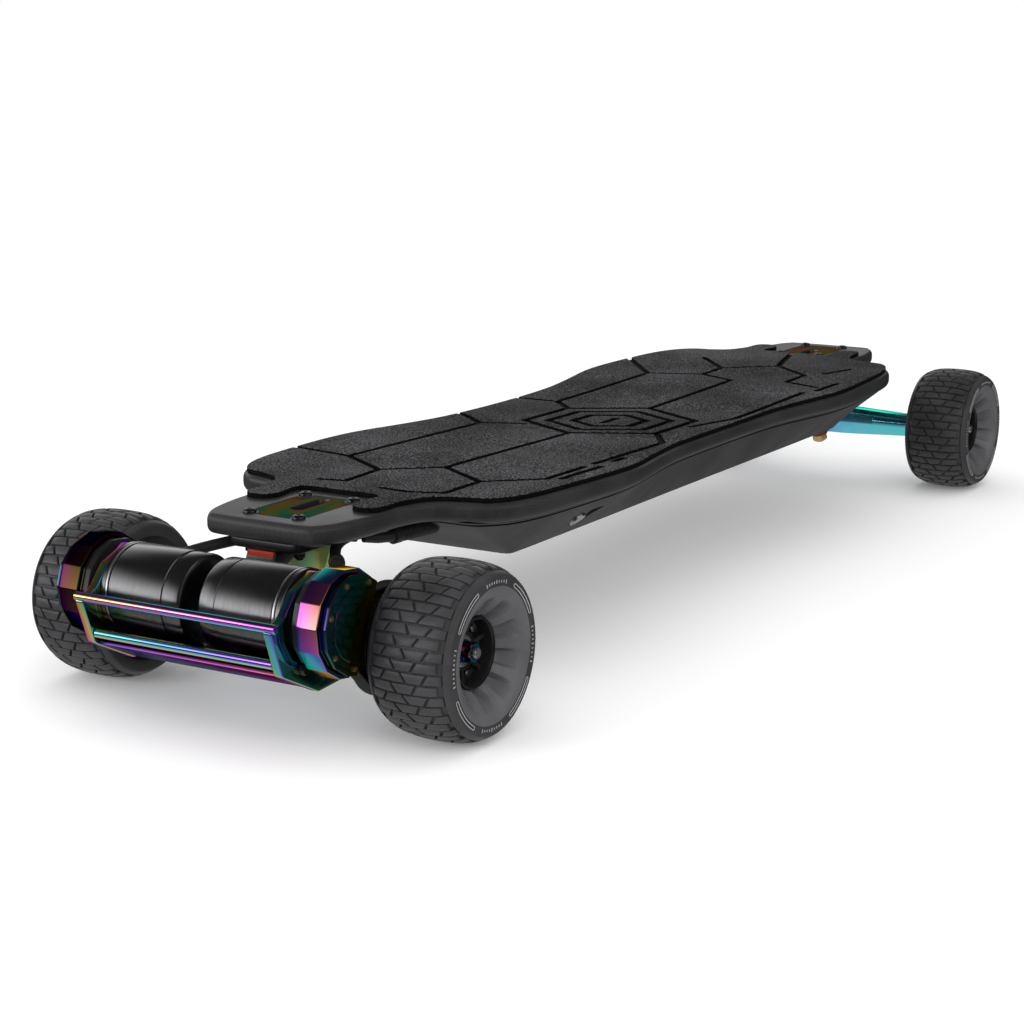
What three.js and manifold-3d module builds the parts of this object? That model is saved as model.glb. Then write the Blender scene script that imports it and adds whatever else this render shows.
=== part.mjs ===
// Electric skateboard: a carbon deck with its battery enclosure, two trucks, four wheels, and two
// belt-driven motors behind the rear axle. Millimetres, +X forward, +Y left, +Z up, ground at Z = 0.
import * as THREE from 'three';
import { mergeVertices } from 'three/addons/utils/BufferGeometryUtils.js';
import Module from 'manifold-3d';

const wasm = await Module();
wasm.setup();

// ---- driving dimensions ----
const AXLE_X = 473; // half of the wheelbase
const WHEEL = { radius: 60, outward: 29, inward: 34, centre: 146, bandRadius: 52.2, lipRadius: 45, hubRadius: 24 };
const AXLE = { height: WHEEL.radius, radius: 4, reach: WHEEL.centre + 17 };
const DECK = { bottom: 117.7, top: 129.7 };
const MAT = { bottom: 129.9, top: 133.4, inset: 3 };
const ENCLOSURE = { bottom: 80, top: 117.4, endTop: 372, endBottom: 302, sideBottom: 84, inset: 5, wall: 3 };
const BOLTS = { x: 440.5, halfLength: 31.75, halfWidth: 20.65, hole: 2.9, shank: 2.4, head: 4.7, land: 6.5 };
const WINDOW = { halfLength: 35, halfWidth: 24 };
const STEER = { x: 458, z: 58, tilt: THREE.MathUtils.degToRad(27.6) }; // kingpin meets the steering axis here
const KINGPIN_RADIUS = 4.8;
const HANGER = { front: 464, back: 484, endTop: 68.5, endBottom: 47.5, rise: 3.5, rearReach: 72, frontReach: 104 };
const MOTOR = { back: 62, up: 26.7, radius: 31.5, inner: 7, canEnd: 67.5, shaftEnd: 104 };
const MOUNT = { inner: 74, outer: 80.5 };
const HOUSING = { inner: 84, outer: 106, radius: 36, facets: 14, facetStart: 6, cut: 13.5, halfWidth: 33, wall: 3 };
const BELT = { inner: 88.6, outer: 99.6, thickness: 2 };
const PULLEY = { wheelRadius: 36.5, motorRadius: 12.5, flange: 1.2, inner: 86.9, outer: 101.3 };
const GAP = 0.3; // between neighbouring pieces
const ROUND = 24; // segments of a large round piece
const MIDDLE_ROUND = 16;
const SMALL_ROUND = 12;

// The rear motors overhang further than the front wheels, so the model is centred on its own box.
const REAR_REACH = AXLE_X + MOTOR.back + 48.5;
const FRONT_REACH = AXLE_X + WHEEL.radius;
const CENTRE_SHIFT = (REAR_REACH - FRONT_REACH) / 2;

const BELT_SPAN = Math.hypot(MOTOR.back, MOTOR.up);
const motorAxis = { x: -(AXLE_X + MOTOR.back), z: AXLE.height + MOTOR.up };

// ---- materials ----
const finish = (color, roughness, metalness) => new THREE.MeshStandardMaterial({ color, roughness, metalness });
const carbon = finish(0x1d1d20, 0.45, 0.1);
const foam = finish(0x2c2c2f, 0.95, 0);
const rainbow = finish(0x4d6f86, 0.15, 1);
const rubber = finish(0x2b2b2d, 0.7, 0);
const hubPlastic = finish(0x141416, 0.4, 0);
const blackSteel = finish(0x1a1a1c, 0.35, 0.9);
const anodised = finish(0x101012, 0.3, 0.9);
const steel = finish(0xa8aab0, 0.25, 1);
const brass = finish(0xb9924a, 0.3, 1);
const urethane = finish(0x7c1f1c, 0.6, 0);
const blueWrap = finish(0x1f3f7c, 0.5, 0);
const beltRubber = finish(0x111111, 0.85, 0);

// ---- geometry helpers ----

// Merged vertices and outward faces: the form every solid here is kept in.
function closed(geometry) {
  const bare = geometry.clone();
  for (const name of Object.keys(bare.attributes)) {
    if (name !== 'position') bare.deleteAttribute(name);
  }
  const merged = mergeVertices(bare, 1e-4);
  const place = merged.attributes.position;
  const index = merged.index.array;
  const [a, b, c] = [new THREE.Vector3(), new THREE.Vector3(), new THREE.Vector3()];
  let volume = 0;
  for (let i = 0; i < index.length; i += 3) {
    a.fromBufferAttribute(place, index[i]);
    b.fromBufferAttribute(place, index[i + 1]);
    c.fromBufferAttribute(place, index[i + 2]);
    volume += a.dot(b.cross(c));
  }
  if (volume < 0) {
    for (let i = 0; i < index.length; i += 3) {
      [index[i + 1], index[i + 2]] = [index[i + 2], index[i + 1]];
    }
  }
  return merged;
}

function toManifold(geometry) {
  const base = closed(geometry);
  const mesh = new wasm.Mesh({
    numProp: 3,
    vertProperties: new Float32Array(base.attributes.position.array),
    triVerts: new Uint32Array(base.index.array),
  });
  return new wasm.Manifold(mesh);
}

function fromManifold(manifold) {
  const mesh = manifold.getMesh();
  const geometry = new THREE.BufferGeometry();
  geometry.setAttribute('position', new THREE.BufferAttribute(mesh.vertProperties, 3));
  geometry.setIndex(new THREE.BufferAttribute(mesh.triVerts, 1));
  return geometry;
}

function joined(...geometries) {
  return fromManifold(geometries.map(toManifold).reduce((whole, next) => whole.add(next)));
}

function cut(base, ...tools) {
  return fromManifold(tools.map(toManifold).reduce((whole, tool) => whole.subtract(tool), toManifold(base)));
}

function flipped(geometry, x, y) {
  return closed(geometry.clone().scale(x, y, 1));
}

// A ring or rod turned about an axis along Y through (x, z); the profile is [radius, y] pairs.
function turned(profile, x = 0, z = 0, segments = ROUND) {
  const points = profile.map(([radius, along]) => new THREE.Vector2(radius, along));
  return new THREE.LatheGeometry(points, segments).translate(x, 0, z);
}

function rod(radius, from, to, x, z, segments = SMALL_ROUND) {
  return turned([[0, from], [radius, from], [radius, to], [0, to]], x, z, segments);
}

// A slab of an outline drawn in the XY plane, between two heights.
function slabZ(shape, bottom, top) {
  const settings = { depth: top - bottom, bevelEnabled: false, curveSegments: 6 };
  return new THREE.ExtrudeGeometry(shape, settings).translate(0, 0, bottom);
}

// A slab of an outline drawn in the XZ plane, between two sideways places.
function slabY(shape, right, left) {
  const settings = { depth: left - right, bevelEnabled: false, curveSegments: 6 };
  return new THREE.ExtrudeGeometry(shape, settings).rotateX(Math.PI / 2).translate(0, left, 0);
}

function outline(points) {
  return new THREE.Shape(points.map(([u, v]) => new THREE.Vector2(u, v)));
}

function circle(u, v, radius) {
  const path = new THREE.Path();
  path.absarc(u, v, radius, 0, 2 * Math.PI, false);
  return path;
}

function box(x0, x1, y0, y1, z0, z1) {
  return new THREE.BoxGeometry(x1 - x0, y1 - y0, z1 - z0)
    .translate((x0 + x1) / 2, (y0 + y1) / 2, (z0 + z1) / 2);
}

// ---- deck and grip mat ----

// A quarter of the deck's edge, from the middle of the nose to the waist.
const DECK_QUARTER = [
  [492, 0], [491, 38], [485.5, 47], [471, 54], [442, 59.5], [408, 61.5], [387, 67.5], [378, 80], [372, 100],
  [362, 113], [345, 122], [318, 128], [273, 132], [228, 134.5], [190, 133], [140, 124], [95, 117.5], [50, 115.5], [0, 115],
];

// Mirrors a quarter of an outline twice into a closed loop; end points on an axis are used once.
function fourfold(quarter) {
  const back = [...quarter].reverse().slice(1);
  const left = [...quarter, ...back.map(([x, y]) => [-x, y])];
  return [...left, ...[...left].reverse().slice(1, -1).map(([x, y]) => [x, -y])];
}

function deckCurve() {
  const points = fourfold(DECK_QUARTER).map(([x, y]) => new THREE.Vector3(x, y, 0));
  return new THREE.CatmullRomCurve3(points, true, 'catmullrom', 0.5);
}

const deckEdge = deckCurve().getPoints(112).slice(0, -1);

// Half-width of the deck at a distance from its middle.
function deckHalfWidth(x) {
  const side = deckEdge.filter((point) => point.y > 0 && Math.abs(point.x) < 385).sort((p, q) => p.x - q.x);
  const next = Math.max(1, side.findIndex((point) => point.x >= x));
  const [p, q] = [side[next - 1], side[next]];
  return THREE.MathUtils.mapLinear(x, p.x, q.x, p.y, q.y);
}

const boltPlaces = [-1, 1].flatMap((u) => [-1, 1].map((v) => [BOLTS.x + u * BOLTS.halfLength, v * BOLTS.halfWidth]));

// The opening over a truck: a rectangle whose corners leave a round land under each bolt head.
function windowOutline(margin) {
  const [length, width] = [WINDOW.halfLength - margin, WINDOW.halfWidth - margin];
  const reach = BOLTS.land + margin;
  const alongEdge = BOLTS.halfLength - Math.sqrt(reach ** 2 - (width - BOLTS.halfWidth) ** 2);
  const upEdge = BOLTS.halfWidth - Math.sqrt(reach ** 2 - (length - BOLTS.halfLength) ** 2);
  const start = Math.atan2(width - BOLTS.halfWidth, alongEdge - BOLTS.halfLength);
  const end = Math.atan2(upEdge - BOLTS.halfWidth, length - BOLTS.halfLength) + 2 * Math.PI;
  const corner = [];
  for (let step = 0; step <= 4; step += 1) {
    const angle = end + ((start - end) * step) / 4;
    corner.push([BOLTS.halfLength + reach * Math.cos(angle), BOLTS.halfWidth + reach * Math.sin(angle)]);
  }
  const mirrored = [...corner].reverse();
  const loop = [
    ...corner,
    ...mirrored.map(([u, v]) => [-u, v]),
    ...corner.map(([u, v]) => [-u, -v]),
    ...mirrored.map(([u, v]) => [u, -v]),
  ];
  return loop.map(([u, v]) => [BOLTS.x + u, v]);
}

function deck() {
  const shape = new THREE.Shape(deckEdge.map((point) => new THREE.Vector2(point.x, point.y)));
  for (const end of [1, -1]) {
    shape.holes.push(outline(windowOutline(0).map(([u, v]) => [end * u, v])));
    for (const [u, v] of boltPlaces) shape.holes.push(circle(end * u, v, BOLTS.hole));
  }
  return slabZ(shape, DECK.bottom, DECK.top);
}

// The mat follows the deck's edge and ends in two lobes beside each truck's bolts.
function gripMat() {
  const steps = 24;
  const reach = 368;
  const side = [];
  for (let step = 0; step <= steps; step += 1) {
    const x = reach - (2 * reach * step) / steps;
    side.push([x, deckHalfWidth(x) - MAT.inset]);
  }
  const lobe = [
    [394, 0], [394, 30], [399, 35], [412, 34.5], [422, 33], [431, 35.5], [435, 42], [435, 50], [430, 56],
    [420, 57.5], [406, 58], [388, 63.5], [379, 71], [373, 84],
  ];
  const left = [...lobe, ...side, ...[...lobe].reverse().map(([x, y]) => [-x, y])];
  const right = [...left].reverse().slice(1, -1).map(([x, y]) => [x, -y]);
  return slabZ(outline([...left, ...right]), MAT.bottom, MAT.top);
}

// ---- battery enclosure and what it holds ----

// One side of the enclosure's tray at a height between its floor (0) and its rim (1).
function trayRing(level, wall) {
  const steps = 18;
  const end = THREE.MathUtils.lerp(ENCLOSURE.endBottom, ENCLOSURE.endTop, level) - wall;
  const left = [];
  for (let step = 0; step <= steps; step += 1) {
    const share = 1 - (2 * step) / steps;
    const rim = deckHalfWidth(share * ENCLOSURE.endTop) - ENCLOSURE.inset;
    const floor = Math.min(ENCLOSURE.sideBottom, rim);
    left.push([share * end, THREE.MathUtils.lerp(floor, rim, level) - wall * 1.3]);
  }
  return [...left, ...[...left].reverse().map(([x, y]) => [x, -y])];
}

// A solid between two rings of the same count, closed by a flat face at each end.
function loft(lower, lowerZ, upper, upperZ) {
  const count = lower.length;
  const position = [...lower.map(([x, y]) => [x, y, lowerZ]), ...upper.map(([x, y]) => [x, y, upperZ])].flat();
  const index = [];
  for (let i = 0; i < count; i += 1) {
    const j = (i + 1) % count;
    index.push(i, j, count + j, i, count + j, count + i);
  }
  const flat = (ring) => THREE.ShapeUtils.triangulateShape(ring.map(([x, y]) => new THREE.Vector2(x, y)), []);
  for (const [a, b, c] of flat(lower)) index.push(a, c, b);
  for (const [a, b, c] of flat(upper)) index.push(count + a, count + b, count + c);
  const geometry = new THREE.BufferGeometry();
  geometry.setAttribute('position', new THREE.Float32BufferAttribute(position, 3));
  geometry.setIndex(index);
  return geometry;
}

// The power button sits square to the right-hand wall of the tray.
const BUTTON = { x: -240, radius: 7, level: 0.46, proud: 1.2, length: 9 };

function onWall() {
  const rim = deckHalfWidth(BUTTON.x) - ENCLOSURE.inset;
  const height = ENCLOSURE.top - ENCLOSURE.bottom;
  const y = -THREE.MathUtils.lerp(ENCLOSURE.sideBottom, rim, BUTTON.level);
  const z = ENCLOSURE.bottom + height * BUTTON.level;
  const outward = new THREE.Vector3(0, -height, -(rim - ENCLOSURE.sideBottom)).normalize();
  return { place: new THREE.Vector3(BUTTON.x, y, z), outward };
}

function buttonRod(radius, from, to) {
  const { place, outward } = onWall();
  const turn = new THREE.Quaternion().setFromUnitVectors(new THREE.Vector3(0, 1, 0), outward);
  return rod(radius, from, to, 0, 0, MIDDLE_ROUND).applyQuaternion(turn).translate(place.x, place.y, place.z);
}

function enclosure() {
  const height = ENCLOSURE.top - ENCLOSURE.bottom;
  const outer = loft(trayRing(0, 0), ENCLOSURE.bottom, trayRing(1, 0), ENCLOSURE.top);
  const floorLevel = ENCLOSURE.wall / height;
  const hollow = loft(
    trayRing(floorLevel, ENCLOSURE.wall), ENCLOSURE.bottom + ENCLOSURE.wall,
    trayRing(1, ENCLOSURE.wall), ENCLOSURE.top,
  );
  const mouth = loft(
    trayRing(1, ENCLOSURE.wall), ENCLOSURE.top - 0.5, trayRing(1, ENCLOSURE.wall), ENCLOSURE.top + 1,
  );
  return cut(outer, joined(hollow, mouth), buttonRod(BUTTON.radius + 0.5, -20, 20));
}

const powerButton = () => buttonRod(BUTTON.radius, BUTTON.proud - BUTTON.length, BUTTON.proud);

const batteryPack = () => box(-255, 90, -70, 70, 84, 112);

function speedController() {
  const fins = [];
  for (let y = -48; y <= 48; y += 12) fins.push(box(120, 250, y - 2, y + 2, 99, 108));
  return joined(box(120, 250, -54, 54, 84, 100), ...fins);
}

// ---- trucks, drawn for the front end; the rear one is the mirror image ----

// Turns a piece drawn about Y so that it lies along the kingpin, with +Y pointing up at the deck.
function alongKingpin(geometry) {
  return geometry.rotateX(Math.PI / 2).rotateY(-STEER.tilt).translate(STEER.x, 0, STEER.z);
}

// The same for the steering axis, with +Y pointing outward, away from the middle of the board.
function alongSteering(geometry) {
  return geometry.rotateZ(-Math.PI / 2).rotateY(-STEER.tilt).translate(STEER.x, 0, STEER.z);
}

// The pockets above and below the hanger's ring leave room for the bushings at full steer.
const RING = { radius: 17, bore: 7.5, half: 4.5, pocket: 16 };
const SEAT = 21.7; // from the steering axis up to the baseplate's bushing seat
const NOSE = { radius: 5.5, end: 43 };

function baseplate() {
  const flange = outline([[398, -27], [402, -30], [480, -30], [486, -24], [486, 24], [480, 30], [402, 30], [398, 27]]);
  for (const [u, v] of boltPlaces) flange.holes.push(circle(u, v, BOLTS.hole));
  const flangeTop = DECK.bottom - GAP;
  const pad = slabZ(outline(windowOutline(0.4)), flangeTop - 1, DECK.top - 0.2);
  const boss = alongKingpin(rod(14, SEAT, 66, 0, 0, MIDDLE_ROUND));
  const arm = slabY(
    outline([[468, 112], [466, 104], [482, 96], [488, 88], [488, 66], [499, 66], [499, 90], [488, 112]]), -12, 12,
  );
  const slot = slabZ(outline([[413, -5], [448, -5], [450, 0], [448, 5], [413, 5], [411, 0]]), 119, 140);
  return cut(
    joined(slabZ(flange, flangeTop - 6, flangeTop), pad, boss, arm),
    box(380, 520, -60, 60, DECK.top - 0.2, 160),
    alongKingpin(rod(KINGPIN_RADIUS + GAP, 0, 57, 0, 0)),
    alongKingpin(rod(9, 56.6, 90, 0, 0)),
    alongSteering(rod(NOSE.radius + 0.5, 20, NOSE.end + 1.5, 0, 0)),
    slot,
  );
}

function kingpin() {
  const hexHead = alongKingpin(rod(8.2, 57, 62.5, 0, 0, 6));
  return joined(hexHead, alongKingpin(rod(KINGPIN_RADIUS, -26, 57.5, 0, 0)), alongKingpin(rod(8.6, -24, -15.4, 0, 0, 6)));
}

function bushing(seatRadius, seat, tipRadius, tip) {
  const bore = KINGPIN_RADIUS + GAP;
  return alongKingpin(turned([[bore, seat], [seatRadius, seat], [tipRadius, tip], [bore, tip], [bore, seat]], 0, 0, MIDDLE_ROUND));
}

const boardBushing = () => bushing(12.5, SEAT - GAP, 8.8, 7.6);
const roadBushing = () => bushing(10, -15, 8.8, -8.2);

function hangerBeam(reach) {
  const { front, back, endTop, endBottom, rise } = HANGER;
  const side = [
    [-reach, endBottom], [-26, endBottom - rise], [26, endBottom - rise], [reach, endBottom],
    [reach, endTop], [26, endTop + rise], [-26, endTop + rise], [-reach, endTop],
  ];
  const beam = new THREE.ExtrudeGeometry(outline(side), { depth: back - front, bevelEnabled: false });
  return beam.rotateX(Math.PI / 2).rotateZ(Math.PI / 2).translate(front, 0, 0);
}

function hanger(reach, bossRadius, bossReach) {
  const body = joined(
    hangerBeam(reach),
    alongKingpin(rod(RING.radius, -RING.half, RING.half, 0, 0, ROUND)),
    alongSteering(rod(NOSE.radius, 8, NOSE.end, 0, 0)),
    rod(bossRadius, -bossReach, bossReach, AXLE_X, AXLE.height, MIDDLE_ROUND),
  );
  return cut(
    body,
    alongKingpin(rod(RING.pocket, RING.half, 40, 0, 0, MIDDLE_ROUND)),
    alongKingpin(rod(RING.pocket, -40, -RING.half, 0, 0, MIDDLE_ROUND)),
    alongKingpin(rod(RING.bore, -20, 20, 0, 0)),
    rod(AXLE.radius + GAP, -200, 200, AXLE_X, AXLE.height),
  );
}

const axle = () => rod(AXLE.radius, -AXLE.reach, AXLE.reach, AXLE_X, AXLE.height);

function deckBolt(u, v) {
  const bolt = [
    [0, 106], [4.3, 106], [4.3, 111], [BOLTS.shank, 111], [BOLTS.shank, DECK.top + 0.2],
    [BOLTS.head, DECK.top + 0.2], [BOLTS.head - 1.2, DECK.top + 2.7], [0, DECK.top + 2.7],
  ];
  return turned(bolt, 0, 0, 8).rotateX(Math.PI / 2).translate(u, v, 0);
}

// ---- wheels, drawn for the left side with the axle at x = 0; the outer face looks along +Y ----

const atWheel = (profile) => profile.map(([radius, out]) => [radius, WHEEL.centre + out]);

function tyre() {
  const { radius, outward, inward, bandRadius, lipRadius, hubRadius } = WHEEL;
  const bore = hubRadius + GAP;
  return turned(atWheel([
    [bore, 13.3], [37, 19], [lipRadius, outward], [bandRadius, outward], [57.4, outward - 8], [radius, 6],
    [radius, -11], [57.4, 8 - inward], [bandRadius, -inward], [lipRadius, -inward], [bore, -18], [bore, 13.3],
  ]), 0, AXLE.height, 28);
}

function wheelCore() {
  return turned(atWheel([
    [11.3, -18], [WHEEL.hubRadius, -18], [WHEEL.hubRadius, 14.5], [21.5, 14.5], [21.5, 6.5], [11.3, 6.5], [11.3, -18],
  ]), 0, AXLE.height);
}

function bearings() {
  return turned(atWheel([
    [4.4, -17.6], [11, -17.6], [11, -10.6], [6, -10.6], [6, -0.8], [11, -0.8], [11, 6.2], [4.4, 6.2], [4.4, -17.6],
  ]), 0, AXLE.height, SMALL_ROUND);
}

function axleNut() {
  const hex = rod(7.5, WHEEL.centre + 6.8, WHEEL.centre + 14.5, 0, AXLE.height, 6);
  return cut(hex, rod(AXLE.radius + GAP, 0, 200, 0, AXLE.height));
}

// ---- belt drive, drawn for the left side ----

function motorCan() {
  const { radius, inner, canEnd, shaftEnd } = MOTOR;
  return turned([
    [0, inner], [radius - 1.5, inner], [radius, inner + 1.5], [radius, canEnd], [radius - 2.9, canEnd],
    [radius - 2.9, inner + 4], [4, inner + 4], [4, shaftEnd], [0, shaftEnd],
  ], motorAxis.x, motorAxis.z);
}

function motorStator() {
  const { radius, inner, canEnd } = MOTOR;
  const base = canEnd + 0.8;
  return turned([
    [4.5, inner + 6], [radius - 3.7, inner + 6], [radius - 3.7, canEnd - 5], [14, canEnd - 5], [14, base],
    [radius, base], [radius, MOUNT.inner - GAP], [4.5, MOUNT.inner - GAP], [4.5, inner + 6],
  ], motorAxis.x, motorAxis.z);
}

const fromMotor = (points) => points.map(([u, v]) => [motorAxis.x + u, motorAxis.z + v]);
const UPPER_ROD = { u: -44.8, v: 3.2, radius: 3.2 };
const LOWER_ROD = { u: -36.5, v: -23, radius: 3.2 };

// The motor mount is also the end plate of the guard and the clamp on the hanger.
function motorMount() {
  const clamp = [];
  for (let angle = -90; angle <= 90; angle += 20) {
    const turn = THREE.MathUtils.degToRad(angle);
    clamp.push([MOTOR.back + 17 * Math.cos(turn), -MOTOR.up + 17 * Math.sin(turn)]);
  }
  const edge = [[-48.5, 1.3], [-37.7, -30.2], [0, -49.1], [32, -47], ...clamp, [22, 24], [0, 31], [-22, 22], [-34, 8]];
  const shape = outline(fromMotor(edge));
  shape.holes.push(circle(motorAxis.x, motorAxis.z, 12), circle(-AXLE_X, AXLE.height, 10.9));
  const notch = rod(UPPER_ROD.radius + GAP, 60, 90, motorAxis.x + UPPER_ROD.u, motorAxis.z + UPPER_ROD.v);
  return cut(slabY(shape, MOUNT.inner, MOUNT.outer), notch);
}

// The housing's outline: flat facets round the motor, then straight sides to a square cut.
function housingOutline(radius, halfWidth, reach) {
  const points = [];
  for (let facet = -3; facet <= 4; facet += 1) {
    const turn = THREE.MathUtils.degToRad(HOUSING.facetStart + (facet * 360) / HOUSING.facets);
    points.push([-radius * Math.cos(turn), radius * Math.sin(turn)]);
  }
  const [ex, ez] = [MOTOR.back / BELT_SPAN, -MOTOR.up / BELT_SPAN];
  points.push([ex * reach - ez * halfWidth, ez * reach + ex * halfWidth]);
  points.push([ex * reach + ez * halfWidth, ez * reach - ex * halfWidth]);
  return fromMotor(points);
}

function beltHousing() {
  const { inner, outer, radius, halfWidth, wall, cut: reach } = HOUSING;
  const shell = slabY(outline(housingOutline(radius, halfWidth, reach)), inner, outer);
  const neck = rod(30, MOUNT.outer + GAP, inner + 1, motorAxis.x, motorAxis.z, ROUND);
  const hollow = slabY(outline(housingOutline(radius - wall, halfWidth - wall, reach + 20)), inner + 2.5, outer + 5);
  return cut(joined(shell, neck), hollow, rod(17, 70, 120, motorAxis.x, motorAxis.z, MIDDLE_ROUND));
}

function beltCover() {
  const { outer, radius, halfWidth, cut: reach } = HOUSING;
  const spigot = slabY(outline(housingOutline(radius - 6, halfWidth - 5, reach)), outer + GAP, outer + 3);
  const plate = slabY(outline(housingOutline(radius - 3.5, halfWidth - 2, reach)), outer + 2.5, outer + 5.3);
  return joined(spigot, plate);
}

function pulley(surface, bore, neck, neckEnd, x, z, segments) {
  const { flange, inner, outer } = PULLEY;
  const rim = surface + BELT.thickness;
  return turned([
    [bore, inner], [rim, inner], [rim, inner + flange], [surface, inner + flange], [surface, outer - flange],
    [rim, outer - flange], [rim, outer], [neck, outer], [neck, neckEnd], [bore, neckEnd], [bore, inner],
  ], x, z, segments);
}

function motorPulley() {
  return pulley(PULLEY.motorRadius, 4.4, 8, PULLEY.outer + 0.8, motorAxis.x, motorAxis.z, SMALL_ROUND);
}

function wheelPulley() {
  return pulley(PULLEY.wheelRadius, 5, 22, WHEEL.centre - 18.3, -AXLE_X, AXLE.height, ROUND);
}

// The loop round both pulleys at a distance outside their working surface.
function beltLoop(offset) {
  const [big, small] = [PULLEY.wheelRadius + offset, PULLEY.motorRadius + offset];
  const lean = Math.asin((big - small) / BELT_SPAN);
  const heading = Math.atan2(-MOTOR.up, MOTOR.back);
  const loop = [];
  const arc = (u, v, radius, from, to, steps) => {
    for (let step = 0; step <= steps; step += 1) {
      const angle = heading + from + ((to - from) * step) / steps;
      loop.push([u + radius * Math.cos(angle), v + radius * Math.sin(angle)]);
    }
  };
  const half = Math.PI / 2 + lean;
  arc(MOTOR.back, -MOTOR.up, big, -half, half, 16);
  arc(0, 0, small, half, 2 * Math.PI - half, 8);
  return fromMotor(loop);
}

function belt() {
  const shape = outline(beltLoop(0.4 + BELT.thickness));
  shape.holes.push(outline([...beltLoop(0.4)].reverse()));
  return slabY(shape, BELT.inner, BELT.outer);
}

const guardRod = (place, reach) => rod(place.radius, -reach, reach, motorAxis.x + place.u, motorAxis.z + place.v);

// ---- assembly ----
const skateboard = new THREE.Group();
skateboard.position.x = CENTRE_SHIFT;

function add(name, geometry, material) {
  const mesh = new THREE.Mesh(closed(geometry), material);
  mesh.name = name;
  skateboard.add(mesh);
}

add('deck', deck(), carbon);
add('grip_mat', gripMat(), foam);
add('battery_enclosure', enclosure(), carbon);
add('battery_pack', batteryPack(), blueWrap);
add('speed_controller', speedController(), anodised);
add('power_button', powerButton(), steel);

for (const [end, sign] of [['front', 1], ['rear', -1]]) {
  const place = (geometry) => flipped(geometry, sign, 1);
  const isRear = end === 'rear';
  add(`${end}_baseplate`, place(baseplate()), rainbow);
  add(`${end}_kingpin`, place(kingpin()), brass);
  add(`${end}_board_bushing`, place(boardBushing()), urethane);
  add(`${end}_road_bushing`, place(roadBushing()), urethane);
  const beam = isRear ? hanger(HANGER.rearReach, 10.5, HOUSING.inner) : hanger(HANGER.frontReach, 10, 127);
  add(`${end}_hanger`, place(beam), rainbow);
  add(`${end}_axle`, place(axle()), steel);
  boltPlaces.forEach(([u, v], number) => {
    add(`${end}_deck_bolt_${number + 1}`, place(deckBolt(u, v)), blackSteel);
  });
  for (const [side, hand] of [['left', 1], ['right', -1]]) {
    const fit = (geometry) => flipped(geometry, 1, hand).translate(sign * AXLE_X, 0, 0);
    add(`${end}_${side}_tyre`, fit(tyre()), rubber);
    add(`${end}_${side}_wheel_core`, fit(wheelCore()), hubPlastic);
    add(`${end}_${side}_wheel_bearings`, fit(bearings()), steel);
    add(`${end}_${side}_axle_nut`, fit(axleNut()), blackSteel);
  }
}

for (const [side, hand] of [['left', 1], ['right', -1]]) {
  const fit = (geometry) => flipped(geometry, 1, hand);
  add(`${side}_motor_can`, fit(motorCan()), anodised);
  add(`${side}_motor_stator`, fit(motorStator()), blackSteel);
  add(`${side}_motor_mount`, fit(motorMount()), rainbow);
  add(`${side}_belt_housing`, fit(beltHousing()), rainbow);
  add(`${side}_belt_cover`, fit(beltCover()), rainbow);
  add(`${side}_motor_pulley`, fit(motorPulley()), steel);
  add(`${side}_wheel_pulley`, fit(wheelPulley()), hubPlastic);
  add(`${side}_drive_belt`, fit(belt()), beltRubber);
}
add('guard_upper_rod', guardRod(UPPER_ROD, 82.5), rainbow);
add('guard_lower_rod', guardRod(LOWER_ROD, MOUNT.inner - GAP), rainbow);

export default skateboard;
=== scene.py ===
"""Looks of an electric skateboard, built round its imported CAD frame.

Shapes are drawn in millimetres with the middle of the wheelbase at x = 0, +X forward, +Y left and the
ground at z = 0. piece() turns them into Blender objects in the frame's metres.
"""

import math

import bmesh
import bpy
import numpy as np
from mathutils import Matrix, Vector
from mathutils.geometry import tessellate_polygon


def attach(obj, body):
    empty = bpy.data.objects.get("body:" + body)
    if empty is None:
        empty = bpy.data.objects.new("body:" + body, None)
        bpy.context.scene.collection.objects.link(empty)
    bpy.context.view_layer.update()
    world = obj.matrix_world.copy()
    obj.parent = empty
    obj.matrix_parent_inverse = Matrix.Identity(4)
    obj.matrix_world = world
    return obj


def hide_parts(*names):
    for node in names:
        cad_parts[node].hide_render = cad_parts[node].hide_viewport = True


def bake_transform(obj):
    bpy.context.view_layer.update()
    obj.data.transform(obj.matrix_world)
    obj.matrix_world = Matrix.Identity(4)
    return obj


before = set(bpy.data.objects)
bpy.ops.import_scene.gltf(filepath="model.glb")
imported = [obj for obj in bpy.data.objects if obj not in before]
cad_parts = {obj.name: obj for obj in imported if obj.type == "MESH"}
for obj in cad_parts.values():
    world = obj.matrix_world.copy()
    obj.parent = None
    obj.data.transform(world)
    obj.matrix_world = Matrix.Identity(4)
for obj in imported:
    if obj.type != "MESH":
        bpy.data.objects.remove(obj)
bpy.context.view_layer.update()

# ---- driving dimensions ----
MM = 0.001
SHIFT = 25.25  # the frame is centred on its own box, this far from the middle of the wheelbase
AXLE_X, AXLE_Z = 473.0, 60.0
WHEEL_Y = 146.0
DECK_LOW, DECK_HIGH = 117.7, 129.7
MAT_LOW, MAT_SHEET, MAT_HIGH = 129.9, 130.9, 133.4
MAT_INSET = 3.5
BOLT_X, BOLT_HALF_LENGTH, BOLT_HALF_WIDTH = 440.5, 31.75, 20.65
MOTOR_X, MOTOR_Z = -535.0, 86.7
MOTOR_RADIUS = 31.5
BACK, UP = 62.0, 26.7  # from a rear axle to its motor
MOUNT_IN, MOUNT_OUT = 74.0, 80.5  # inner and outer face of a motor mount, from the centre line
CASE_IN, CASE_LIP, CASE_OUT = 84.0, 90.4, 106.0  # the belt case, from the centre line
HUB_BORE, TYRE_BORE, DISH_RIM = 11.3, 24.3, 45.0  # radii of a wheel
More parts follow.
